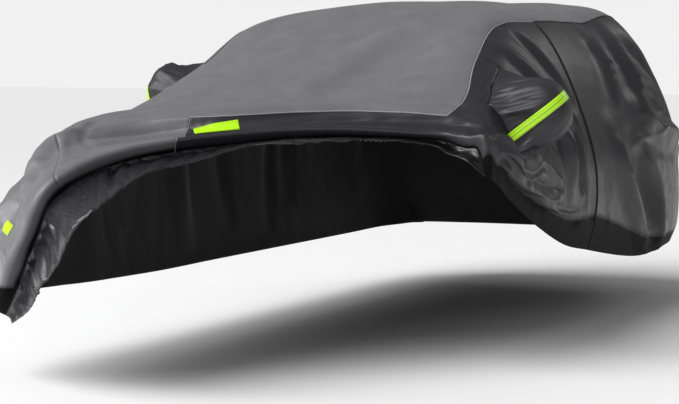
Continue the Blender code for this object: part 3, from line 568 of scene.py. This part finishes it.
def coated_polyester(name, colour, band_colour, roughness, band_roughness=0.6, sheen=0.0, specular=0.5):
    """Plain-woven polyester with a polyurethane coat: smooth, satin, with small creases that catch light.
    Where its band mix says, it turns to a second colour and roughness; on the panels that is the near black
    of the hem band and the tuck, painted shade."""
    made, tree, shader = new_material(name, {"IOR": 1.5, "Specular IOR Level": specular,
                                             "Sheen Weight": sheen, "Sheen Roughness": 0.45})
    place = add(tree, "TexCoord").outputs["Object"]
    uv = add(tree, "UVMap", uv_map="cloth")
    mask = add(tree, "Attribute", attribute_name="shiny").outputs["Fac"]
    # mottling of the coat, hand-sized and finger-sized
    mottle = add(tree, "TexNoise", {"Scale": 9.0, "Detail": 5.0, "Roughness": 0.6},
                 {"Vector": place})
    tone = add(tree, "MapRange",
               {"From Min": 0.3, "From Max": 0.7, "To Min": 0.86, "To Max": 1.12}, {"Value": mottle})
    # painted shade: the band mix takes the colour to the band colour, on the panels the near black of the
    # hem band and the tuck
    plain = add(tree, "Mix", {6: colour, 7: band_colour}, {0: mask}, data_type="RGBA")
    # the coat is a little more polished where it was handled
    polish = add(tree, "MapRange", {"From Min": 0.3, "From Max": 0.75, "To Min": roughness + 0.06,
                                              "To Max": roughness - 0.08}, {"Value": mottle})
    rough = add(tree, "Mix", {3: band_roughness}, {0: mask, 2: polish}, data_type="FLOAT")
    tree.links.new(rough.outputs[0], shader.inputs["Roughness"])
    # threads 3.2 mm apart, coarser than the real weave, so that they show close by
    warp, weft = (add(tree, "TexWave", {"Scale": 98.0, "Distortion": 0.3, "Detail": 1.0},
                      {"Vector": uv}, bands_direction=way).outputs["Fac"] for way in "XY")
    weave = add(tree, "Math", links={0: warp, 1: weft}, operation="MULTIPLY")
    threads = add(tree, "Bump", {"Strength": 0.10, "Distance": 0.0006}, {"Height": weave})
    # creases of 1 to 4 cm left from packing
    packed = add(tree, "TexNoise",
                 {"Scale": 26.0, "Detail": 4.0, "Roughness": 0.55, "Distortion": 0.6},
                 {"Vector": place}, noise_type="RIDGED_MULTIFRACTAL")
    creases = add(tree, "Bump", {"Strength": 0.16, "Distance": 0.0020},
                  {"Height": packed, "Normal": threads})
    dress(tree, shader, plain.outputs[2], tone, creases)
    return made


def grained(name, colour, grain, swing, relief, sockets):
    """A finish whose grain shows as lighter and darker spots and as small bumps."""
    made, tree, shader = new_material(name, sockets)
    place = add(tree, "TexCoord").outputs["Object"]
    spots = add(tree, "TexNoise", grain, {"Vector": place})
    tone = add(tree, "MapRange", {"To Min": 1.0 - swing, "To Max": 1.0 + swing}, {"Value": spots})
    bump = add(tree, "Bump", relief, {"Height": spots})
    dress(tree, shader, colour, tone, bump)
    return made


def brushed_lining(name, colour):
    """The inner face: the same cloth's uncoated side, faintly brushed, so it is dull."""
    return grained(name, colour, {"Scale": 60.0, "Detail": 6.0, "Roughness": 0.7}, 0.15,
                   {"Strength": 0.3, "Distance": 0.001}, {"Roughness": 0.8, "Sheen Weight": 0.15})


def corded(name, colour, roughness, ribs):
    """A sewn cord, such as piping or a zip's coil: a round section with ribs across it."""
    return grained(name, colour, {"Scale": ribs, "Detail": 2.0}, 0.2,
                   {"Strength": 0.4, "Distance": 0.0008}, {"Roughness": roughness})


def prism_tape(name, colour, line_colour, width, line_width):
    """Fluorescent reflective tape: a glossy face over fine prisms, sewn on along both edges. A grey line
    may run along its middle."""
    # painted light: a faint emission in the tape's own colour makes it glow
    made, tree, shader = new_material(name, {"Roughness": 0.34, "Coat Weight": 0.3, "Coat Roughness": 0.2,
                                             "Emission Color": colour, "Emission Strength": 0.12})
    uv = add(tree, "UVMap", uv_map="cloth")
    along, across = add(tree, "SeparateXYZ", links={"Vector": uv}).outputs[:2]
    prisms = add(tree, "TexVoronoi", {"Scale": 420.0}, {"Vector": uv})
    glint = add(tree, "MapRange", {"To Min": 1.06, "To Max": 0.82}, {"Value": prisms})
    # how far from the tape's middle, for the line and the stitches, which are 4 mm inside each edge
    off = add(tree, "Math", {1: width / 2}, {0: across}, operation="SUBTRACT")
    off = add(tree, "Math", links={0: off}, operation="ABSOLUTE")
    line = add(tree, "Math", {1: line_width / 2}, {0: off}, operation="LESS_THAN")
    edge = add(tree, "Math", {1: width / 2 - 0.0040, 2: 0.0009}, {0: off}, operation="COMPARE")
    # stitches 3.5 mm long with gaps of 1.5 mm
    beat = add(tree, "Math", {1: 0.005}, {0: along}, operation="MODULO")
    stitch = add(tree, "Math", {1: 0.0035}, {0: beat}, operation="LESS_THAN")
    stitch = add(tree, "Math", links={0: stitch, 1: edge}, operation="MULTIPLY")
    dark = add(tree, "Math", links={0: line, 1: stitch}, operation="MAXIMUM")
    mix = add(tree, "Mix", {6: colour, 7: line_colour}, {0: dark}, data_type="RGBA")
    bump = add(tree, "Bump", {"Strength": 0.25, "Distance": 0.0008}, {"Height": prisms})
    sunk = add(tree, "Bump", {"Strength": 0.6, "Distance": 0.0010},
               {"Height": dark, "Normal": bump}, invert=True)
    dress(tree, shader, mix.outputs[2], glint, sunk)
    return made


def painted_floor(name, colour):
    """A matt studio floor."""
    return new_material(name, {"Base Color": colour, "Roughness": 0.9, "Specular IOR Level": 0.1})[0]


# ---------------- making pieces

def placed(name, data):
    """A new object in the scene."""
    made = bpy.data.objects.new(name, data)
    bpy.context.scene.collection.objects.link(made)
    return made


def link(name, mesh_edit, *materials):
    """A new object from a bmesh, smooth, with its materials."""
    mesh = bpy.data.meshes.new(name)
    mesh_edit.to_mesh(mesh)
    mesh_edit.free()
    mesh.shade_smooth()
    for each in materials:
        mesh.materials.append(each)
    return placed(name, mesh)


def grid_sheet(points, uvs=None, values=None, keep=None):
    """A sheet over a grid of points, with its UV map, by default in metres along it, and, where given, each
    point's band mix, which takes its colour toward its material's second colour. keep(row cell, line cell)
    leaves faces out."""
    uvs = uvs or (lengths(points, 1), lengths(points, 0))
    along, across = points.shape[0] - 1, points.shape[1] - 1
    sheet = bmesh.new()
    shiny = sheet.verts.layers.float.new("shiny") if values is not None else None
    bmesh.ops.create_grid(sheet, x_segments=across, y_segments=along, size=1.0)
    layer = sheet.loops.layers.uv.new("cloth")
    spots = {vert: (round((vert.co.y + 1) / 2 * along), round((vert.co.x + 1) / 2 * across))
             for vert in sheet.verts}
    drop = []
    for face in sheet.faces:
        cells = [spots[loop.vert] for loop in face.loops]
        if keep and not keep(min(i for i, _ in cells), min(j for _, j in cells)):
            drop.append(face)
            continue
        for loop, (i, j) in zip(face.loops, cells):
            loop[layer].uv = uvs[0][i, j], uvs[1][i, j]
    for vert, (i, j) in spots.items():
        vert.co = points[i, j]
        if shiny:
            vert[shiny] = values[i, j]
    bmesh.ops.delete(sheet, geom=drop, context="FACES")
    return sheet


def nearest(stations, wanted):
    return int(np.argmin(np.abs(np.asarray(stations) - wanted)))


def mouth_cells(grid, pocket):
    """A pocket's mouth: its first and last grid station along and across."""
    across = sorted(nearest(grid.lines, pocket.sign * line) for line in pocket.across)
    along = [nearest(grid.rows, row) for row in pocket.along]
    return along, across


def in_mouth(i, j, mouth):
    (i0, i1), (j0, j1) = mouth
    return i0 <= i < i1 and j0 <= j < j1


def pocket_bag(grid, mouth, pocket, gather):
    """A closed bag from the mouth's edge outwards, drawn in by gathers at the mouth."""
    (i0, i1), (j0, j1) = mouth
    loop = ([(i, j0) for i in range(i0, i1)] + [(i1, j) for j in range(j0, j1)]
            + [(i, j1) for i in range(i1, i0, -1)] + [(i0, j) for j in range(j1, j0, -1)])
    edge = np.array([grid.points[at] for at in loop + loop[:1]])
    centre = edge[:-1].mean(axis=0)
    axis = unit(np.array((pocket.sign * POCKET_AXIS.x, POCKET_AXIS.y, pocket.rise)))
    back = unit(np.array((0.0, 1.0, 0.0)) - axis * axis[1])
    top = np.cross(axis, back) * pocket.sign
    turn = np.arctan2((edge - centre) @ top, (edge - centre) @ back)
    knots = [edge]
    for ring in POCKET_RINGS:
        oval = (centre + axis * ring.out * pocket.reach
                + np.outer(np.cos(turn), back) * ring.along * pocket.width
                + np.outer(np.sin(turn), top) * ring.up * pocket.height)
        knots.append(edge + (oval - edge) * ring.oval)
    knots.append(np.tile(centre + axis * POCKET_TIP * pocket.reach, (len(edge), 1)))
    knots = np.array(knots)
    station = stations_of(knots)
    at = np.linspace(0.0, station[-1], POCKET_ROWS + 1)
    rings = np.stack([smooth_through(station, knots[:, k], at) for k in range(len(edge))], axis=1)
    share = at / station[-1]
    for i, along in enumerate(share):
        inner = rings[i].mean(axis=0)
        pull = gather * min(1.0, 6.0 * along) * max(0.0, 1.0 - along) ** 1.5
        for k, angle in enumerate(turn):
            wave = noise.noise(Vector((math.cos(angle) * 2.3, math.sin(angle) * 2.3, along * 1.3)))
            fine = abs(noise.noise(Vector((math.cos(angle) * 6.0, math.sin(angle) * 6.0, along * 2.0 + 5))))
            rings[i, k] += (rings[i, k] - inner) * pull * (1.3 * wave + 1.1 * (0.25 - fine))
    if pocket.sign > 0:
        rings = rings[:, ::-1]
    bag = grid_sheet(rings, values=np.zeros(rings.shape[:2]))
    bmesh.ops.remove_doubles(bag, verts=bag.verts[:], dist=0.0001)
    bmesh.ops.recalc_face_normals(bag, faces=bag.faces[:])
    tip = max(bag.verts, key=lambda vert: vert.co.dot(Vector(axis)))
    if tip.normal.dot(Vector(axis)) < 0:
        bmesh.ops.reverse_faces(bag, faces=bag.faces[:])
    return bag


def taut(heights):
    """The lowest curve over evenly spaced heights that is nowhere hollow, like a taut tape."""
    places = range(len(heights))
    over = []
    for at in places:
        while len(over) > 1 and ((heights[over[-1]] - heights[over[-2]]) * (at - over[-2])
                                 <= (heights[at] - heights[over[-2]]) * (over[-1] - over[-2])):
            over.pop()
        over.append(at)
    return np.interp(places, over, [heights[at] for at in over])


def strip_over(host, strip, lift):
    """A tape laid tautly over its host between two points."""
    start, end = (Vector(point) - Vector(ROOF_REST) for point in (strip.start, strip.end))
    faces = Vector(strip.faces).normalized()
    side = (end - start).cross(faces).normalized() * strip.width / 2
    tree = BVHTree.FromBMesh(host)
    rows = []
    for across in np.linspace(-1.0, 1.0, STRIP_ACROSS + 1):
        spots = [start.lerp(end, k / STRIP_STEPS) + side * across for k in range(STRIP_STEPS + 1)]
        down = [tree.ray_cast(spot + faces * 0.5, -faces)[3] for spot in spots]
        lowest = min(0.5 - far for far in down if far is not None)
        heights = taut([lowest if far is None else 0.5 - far for far in down])
        rows.append([spot + faces * (height + lift) for spot, height in zip(spots, heights)])
    points = np.array(rows)[::-1]
    tape = grid_sheet(points)
    tape.normal_update()
    if sum((face.normal for face in tape.faces), Vector()).dot(faces) < 0:
        bmesh.ops.reverse_faces(tape, faces=tape.faces[:])
    return tape


def tube(name, points, radius, material):
    """A round cord through points, as a mesh."""
    line = bpy.data.curves.new(name, "CURVE")
    line.dimensions = "3D"
    line.bevel_depth = radius
    line.bevel_resolution = 3
    line.use_fill_caps = True
    spline = line.splines.new("POLY")
    spline.points.add(len(points) - 1)
    for target, point in zip(spline.points, points):
        target.co = (*point, 1.0)
    carrier = bpy.data.objects.new(name + "_line", line)
    mesh = bpy.data.meshes.new_from_object(carrier)
    bpy.data.objects.remove(carrier, do_unlink=True)
    bpy.data.curves.remove(line)
    mesh.name = name
    mesh.shade_smooth()
    mesh.materials.clear()
    mesh.materials.append(material)
    return placed(name, mesh)


def thicken(piece, thickness, inner=0):
    """Gives a sheet its thickness toward the car, and its inner face its own material."""
    solid = piece.modifiers.new("Thickness", "SOLIDIFY")
    solid.thickness = thickness
    solid.offset = -1.0
    solid.material_offset = inner
    return piece


class Layout:
    """The surface as its panels share it: worked out once, and read by the operators that build on it."""

    def __init__(self, sizes):
        self.grid = draped_grid(sizes.wrinkles)
        self.hosts = {}      # the sheets that strips are laid on, by their nodes
        lines, rows = self.grid.lines, self.grid.rows
        self.left_seam, self.right_seam = nearest(lines, SEAM), nearest(lines, -SEAM)
        self.corner_seam = nearest(lines, CORNER_SEAM)
        self.tuck = nearest(rows, 1.0)
        self.ridge_seam = nearest(rows, RIDGE)
        self.zip_row = nearest(rows, PEAK)
        self.mouths = {pocket.name: mouth_cells(self.grid, pocket) for pocket in POCKETS}


def range_sheet(cover, rows, lines, keep=None):
    """The grid's sheet from row to row and from line to line."""
    (i0, i1), (j0, j1) = rows, lines
    grid = cover.grid
    cut = (slice(i0, i1 + 1), slice(j0, j1 + 1))
    open_at = cover.mouths.values()
    return grid_sheet(grid.points[cut], (grid.across[cut], grid.along[cut]), grid.shiny[cut],
                      lambda i, j: (not keep or keep(i + i0, j + j0))
                      and not any(in_mouth(i + i0, j + j0, mouth) for mouth in open_at))


# ---------------- what a user may change

def metres(name, text, value):
    return FloatProperty(name=name, description=text, default=value, unit="LENGTH")


def factor(name, text, value, most):
    return FloatProperty(name=name, description=text, default=value, min=0.0, max=most, subtype="FACTOR")


def paint(name, text, value):
    return FloatVectorProperty(name=name, description=text, default=hex_colour(value), size=4,
                               subtype="COLOR")


class CoverSizes(bpy.types.PropertyGroup):
    """Sizes that can change without moving the cover's main folds."""
    cloth: metres("Cloth", "Thickness of the cloth", CLOTH)
    wrinkles: factor("Wrinkles", "Depth of creases and crumples, 1 as found", 1.0, 2.0)
    shirring: metres("Shirring", "Depth of the gathers in the hem band", 0.0135)
    shirring_pitch: metres("Shirring pitch", "Distance between two gathers", 0.055)
    gathers: factor("Pocket gathers", "How far the mirror pockets are drawn in", 0.20, 0.6)
    piping: metres("Piping", "Radius of the piping in the seams", 0.0028)
    binding: metres("Hem cord", "Radius of the elastic in the hem", 0.002)
    tape: metres("Tape", "Thickness of the strips", 0.0015)
    zip_width: metres("Zip", "Width of the zip's tape", 0.016)


class CoverColours(bpy.types.PropertyGroup):
    """Colours of the cover's cloths and tapes."""
    top: paint("Top cloth", "Outer cloth of the long middle panel and the right side", "#646366")
    # painted shade: the side colour is the top's cloth painted darker, for the left side and the pockets,
    # which face away from the main light
    side: paint("Side cloth", "Outer cloth of the left side panels and the pockets", "#28272B")
    # the hem band's near black: on the bands and under the lip it is painted shade; the elastic cord and
    # the dark piping take it as their own colour
    band: paint("Hem band", "Cloth of the elasticated band", "#050506")
    shirred: paint("Gathered band", "Cloth of the gathered band under the lip", "#2A2A2E")
    lining: paint("Inner face", "The cloth's inner face", "#1C1C1E")
    strip: paint("Strips", "Reflective strips", "#B4F000")
    strip_line: paint("Strip line", "The line and stitches on a strip", "#7E9A3C")
    piping: paint("Piping", "Piping in the panel seams", "#8C8C90")
    zip: paint("Zip", "The zip's tape and coil", "#101012")


class StageSettings(bpy.types.PropertyGroup):
    """The studio around the cover."""
    floor: paint("Floor", "Colour of the floor", "#EEEEEE")
    key_power: FloatProperty(name="Key light", description="Strength of the main light", default=3.5)
    key_angle: FloatProperty(name="Key softness", description="How broad the main light looks", default=0.9,
                             subtype="ANGLE")
    paper: FloatProperty(name="Backdrop", description="Brightness of the backdrop", default=0.88, min=0.0)
    room: FloatProperty(name="Room", description="Light from all round", default=0.20, min=0.0)
    fill_power: FloatProperty(name="Fill light", description="Power of the second light", default=55.0,
                              unit="POWER")


# ---------------- operators

layout = []


def settings(context):
    """The layout, made the first time that it is asked for, and the sizes and the colours."""
    if not layout:
        layout.append(Layout(context.scene.cover_sizes))
    return layout[0], context.scene.cover_sizes, context.scene.cover_colours


def sew_on(piece, replaced=None):
    """Puts a piece on the cover's one body and, where it stands for a solid, hides that solid."""
    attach(piece, "root")
    if replaced:
        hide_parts(replaced)


class COVER_OT_panels(bpy.types.Operator):
    """The four cloth panels with their folds"""
    bl_idname = "cover.panels"
    bl_label = "Panels"

    def execute(self, context):
        cover, sizes, colours = settings(context)
        last_row, last_line = len(cover.grid.rows) - 1, len(cover.grid.lines) - 1
        # one cloth in two copies: the left panels take the side colour without sheen, painted shade of the
        # side away from the light
        top = coated_polyester("satin_polyester_top", colours.top, colours.band, 0.44, sheen=0.08)
        side = coated_polyester("satin_polyester_side", colours.side, colours.band, 0.40)
        # the hem material, near black with little specular: painted shade of the bands under the folds and
        # the car
        hem = coated_polyester("uncoated_polyester_hem", colours.band, colours.band, 0.6, specular=0.10)
        lining = brushed_lining("polyester_inner_face", colours.lining)

        def in_left(i, j):
            return j >= (cover.corner_seam if i < cover.ridge_seam else cover.left_seam)

        # each panel's node, cloth, rows and lines, the cells that it has of them, its flat size and area
        for node, cloth, rows, lines, keep, flat, area in (
                ("centre_panel", top, (cover.tuck, last_row), (cover.right_seam, cover.left_seam),
                 lambda i, j: not in_left(i, j), (1.36, 4.80), 5.5),
                ("side_left_front", side, (cover.tuck, cover.zip_row), (cover.corner_seam, last_line),
                 in_left, (1.05, 1.90), 1.35),
                ("side_left_rear", side, (cover.zip_row, last_row), (cover.left_seam, last_line),
                 None, (1.20, 2.55), 2.35),
                ("side_right", top, (cover.tuck, last_row), (0, cover.right_seam),
                 None, (1.15, 4.60), 4.45)):
            sheet = range_sheet(cover, rows, lines, keep)
            cover.hosts[node] = sheet.copy()
            shiny = sheet.verts.layers.float["shiny"]
            for face in sheet.faces:
                # faces wholly in the band mix take the hem's painted-shade material
                face.material_index = 2 * (min(vert[shiny] for vert in face.verts) > 0.99)
            piece = thicken(link(node + "_cloth", sheet, cloth, lining, hem, lining), sizes.cloth, inner=1)
            sew_on(piece, node)
        return {"FINISHED"}


class COVER_OT_hem(bpy.types.Operator):
    """The gathered band and the elastic of the hem"""
    bl_idname = "cover.hem"
    bl_label = "Hem"

    def execute(self, context):
        _, sizes, colours = settings(context)
        # the gathered band: its own colour on the right, near black on the left as painted shade under the
        # roll
        shirred = coated_polyester("shirred_polyester_band", colours.band, colours.shirred, 0.30, 0.26)
        lining = brushed_lining("band_inner_face", colours.lining)
        cord = corded("elastic_hem_cord", colours.band, 0.5, 300.0)
        band = band_grid(sizes.shirring, sizes.shirring_pitch)
        sheet = grid_sheet(band.points, (band.across, band.along), band.shiny)
        piece = thicken(link("front_hem_band", sheet, shirred, lining), sizes.cloth / 2, inner=1)
        sew_on(piece)
        edge = band.points[0] - band.normals[0] * CORD_IN
        sew_on(tube("front_hem_cord", edge, sizes.binding, cord))
        return {"FINISHED"}


class COVER_OT_pockets(bpy.types.Operator):
    """The two sewn-on mirror pockets"""
    bl_idname = "cover.pockets"
    bl_label = "Mirror pockets"

    def execute(self, context):
        cover, sizes, colours = settings(context)
        # the pockets take the side colour: painted shade, the top's cloth painted darker
        cloth = coated_polyester("satin_polyester_pocket", colours.side, colours.band, 0.48)
        lining = brushed_lining("pocket_inner_face", colours.lining)
        for pocket in POCKETS:
            bag = pocket_bag(cover.grid, cover.mouths[pocket.name], pocket, sizes.gathers)
            cover.hosts[pocket.name] = bag.copy()
            piece = thicken(link(pocket.name + "_cloth", bag, cloth, lining), sizes.cloth, inner=1)
            sew_on(piece, pocket.name)
        return {"FINISHED"}


class COVER_OT_strips(bpy.types.Operator):
    """The reflective strips"""
    bl_idname = "cover.strips"
    bl_label = "Strips"

    def execute(self, context):
        cover, sizes, colours = settings(context)
        for strip in STRIPS:
            line = STRIP_LINE if "mirror" in strip.name else 0.0
            tape = prism_tape("reflective_tape_" + strip.name, colours.strip, colours.strip_line,
                              strip.width, line)
            sheet = strip_over(cover.hosts[strip.host], strip, sizes.tape + STRIP_GAP)
            sew_on(thicken(link(strip.name + "_tape", sheet, tape), sizes.tape), strip.name)
        return {"FINISHED"}


class COVER_OT_seams(bpy.types.Operator):
    """The piping in the panel seams, and the zip"""
    bl_idname = "cover.seams"
    bl_label = "Piping and zip"

    def execute(self, context):
        cover, sizes, colours = settings(context)
        grid, peak = cover.grid, cover.zip_row
        piping = corded("satin_piping", colours.piping, 0.42, 260.0)
        dark_piping = corded("dark_piping", colours.band, 0.42, 260.0)
        woven = corded("woven_zip_tape", colours.zip, 0.7, 420.0)
        coil = corded("zip_coil", colours.zip, 0.35, 500.0)
        seated = grid.points + grid.normals * sizes.piping * PIPING_SEAT
        seams = (cover.corner_seam, cover.left_seam, cover.right_seam)
        corner, left, right = (seated[:, line] for line in seams)
        ridge = seated[cover.ridge_seam, cover.corner_seam:cover.left_seam]
        for name, points, finish, radius in (
                ("piping_corner", corner[cover.tuck:cover.ridge_seam], piping, 0.5),
                ("piping_ridge", np.concatenate([ridge, left[cover.ridge_seam:peak]]), piping, 1.0),
                ("piping_roof", left[peak:], dark_piping, 0.9),
                ("piping_right", right[nearest(grid.rows, SCREEN):], dark_piping, 0.5)):
            sew_on(tube(name, points, sizes.piping * radius, finish))
        span = slice(nearest(grid.lines, SEAM) + 2, nearest(grid.lines, BORDER) + 1)
        middle, normals = grid.points[peak, span], grid.normals[peak, span]
        rows = []
        for across in np.linspace(-1.0, 1.0, ZIP_ACROSS + 1):
            step = grid.points[peak + (2 if across > 0 else -2), span] - middle
            step /= np.linalg.norm(step, axis=1, keepdims=True)
            rows.append(middle + step * abs(across) * sizes.zip_width / 2)
        points = np.array(rows) + normals * (sizes.tape + ZIP_GAP)
        sheet = grid_sheet(points)
        sew_on(thicken(link("zip_tape_woven", sheet, woven), sizes.tape), "zip_tape")
        sew_on(tube("zip_coil", points[ZIP_ACROSS // 2] + COIL_RISE * normals, ZIP_COIL, coil))
        return {"FINISHED"}


class COVER_OT_stage(bpy.types.Operator):
    """Floor, light and camera"""
    bl_idname = "cover.stage"
    bl_label = "Studio"

    def execute(self, context):
        scene, stage = context.scene, context.scene.cover_stage
        ground = bmesh.new()
        bmesh.ops.create_grid(ground, x_segments=1, y_segments=1, size=FLOOR_HALF)
        bmesh.ops.translate(ground, verts=ground.verts[:], vec=(0.0, 0.0, -ROOF_REST[2]))
        floor = link("floor", ground, painted_floor("matt_floor", stage.floor))
        for name, kind, place, aim, size, power in (
                ("key", "SUN", (-4.0, -6.5, 7.5), (0.0, 0.0, 0.0), stage.key_angle, stage.key_power),
                ("front", "AREA", (-1.0, -10.0, 0.8), (0.0, -1.0, -0.5), 3.5, 1.8 * stage.fill_power),
                ("left", "AREA", (-7.0, -5.0, 2.2), (-0.8, -1.6, -0.8), 2.5, 4.0 * stage.fill_power),
                ("fill", "AREA", (7.0, -2.0, 2.5), (0.5, 0.5, -0.6), 2.5, 0.45 * stage.fill_power),
                ("back", "AREA", (4.0, 7.5, 3.5), (0.5, 1.5, -0.6), 2.5, 0.7 * stage.fill_power)):
            lamp = bpy.data.lights.new(name, kind)
            if kind == "SUN":
                lamp.angle = size
            else:
                lamp.size = size
            lamp.energy = power
            holder = placed(name, lamp)
            holder.location = place
            holder.rotation_euler = (Vector(aim) - Vector(place)).to_track_quat("-Z", "Y").to_euler()
        world = bpy.data.worlds.new("studio")
        world.use_nodes = True
        seen = add(world.node_tree, "LightPath")
        strength = add(world.node_tree, "MapRange", {"To Min": stage.room, "To Max": stage.paper},
                       {"Value": seen.outputs["Is Camera Ray"]})
        paper = world.node_tree.nodes["Background"]
        paper.inputs["Color"].default_value = (1.0, 1.0, 1.0, 1.0)
        world.node_tree.links.new(strength.outputs["Result"], paper.inputs["Strength"])
        scene.world = world
        scene.view_settings.view_transform = "Standard"
        camera = placed("camera", bpy.data.cameras.new("camera"))
        camera.data.sensor_width = 36.0
        camera.data.lens = CAMERA_LENS
        camera.data.clip_end = 200.0
        camera.location = Vector(CAMERA_PLACE) - Vector(ROOF_REST)
        camera.rotation_euler = (math.pi / 2 - CAMERA_DOWN, 0.0, CAMERA_TURN)
        scene.camera = camera
        return {"FINISHED"}


class COVER_PT_panel(bpy.types.Panel):
    """The car cover's pieces and settings"""
    bl_label = "Car cover"
    bl_space_type = "VIEW_3D"
    bl_region_type = "UI"
    bl_category = "Car cover"

    def draw(self, context):
        for operator in OPERATORS:
            self.layout.operator(operator.bl_idname)
        for group in (context.scene.cover_sizes, context.scene.cover_colours, context.scene.cover_stage):
            for name in group.__annotations__:
                self.layout.prop(group, name)


OPERATORS = (COVER_OT_panels, COVER_OT_hem, COVER_OT_pockets, COVER_OT_strips, COVER_OT_seams,
             COVER_OT_stage)
CLASSES = (CoverSizes, CoverColours, StageSettings) + OPERATORS + (COVER_PT_panel,)
GROUPS = {"cover_sizes": CoverSizes, "cover_colours": CoverColours, "cover_stage": StageSettings}


def register():
    for each in CLASSES:
        bpy.utils.register_class(each)
    for name, group in GROUPS.items():
        setattr(bpy.types.Scene, name, PointerProperty(type=group))


def unregister():
    for name in GROUPS:
        delattr(bpy.types.Scene, name)
    for each in reversed(CLASSES):
        bpy.utils.unregister_class(each)


def main():
    register()
    for operator in OPERATORS:
        group, name = operator.bl_idname.split(".")
        getattr(getattr(bpy.ops, group), name)()


if __name__ == "__main__":
    main()
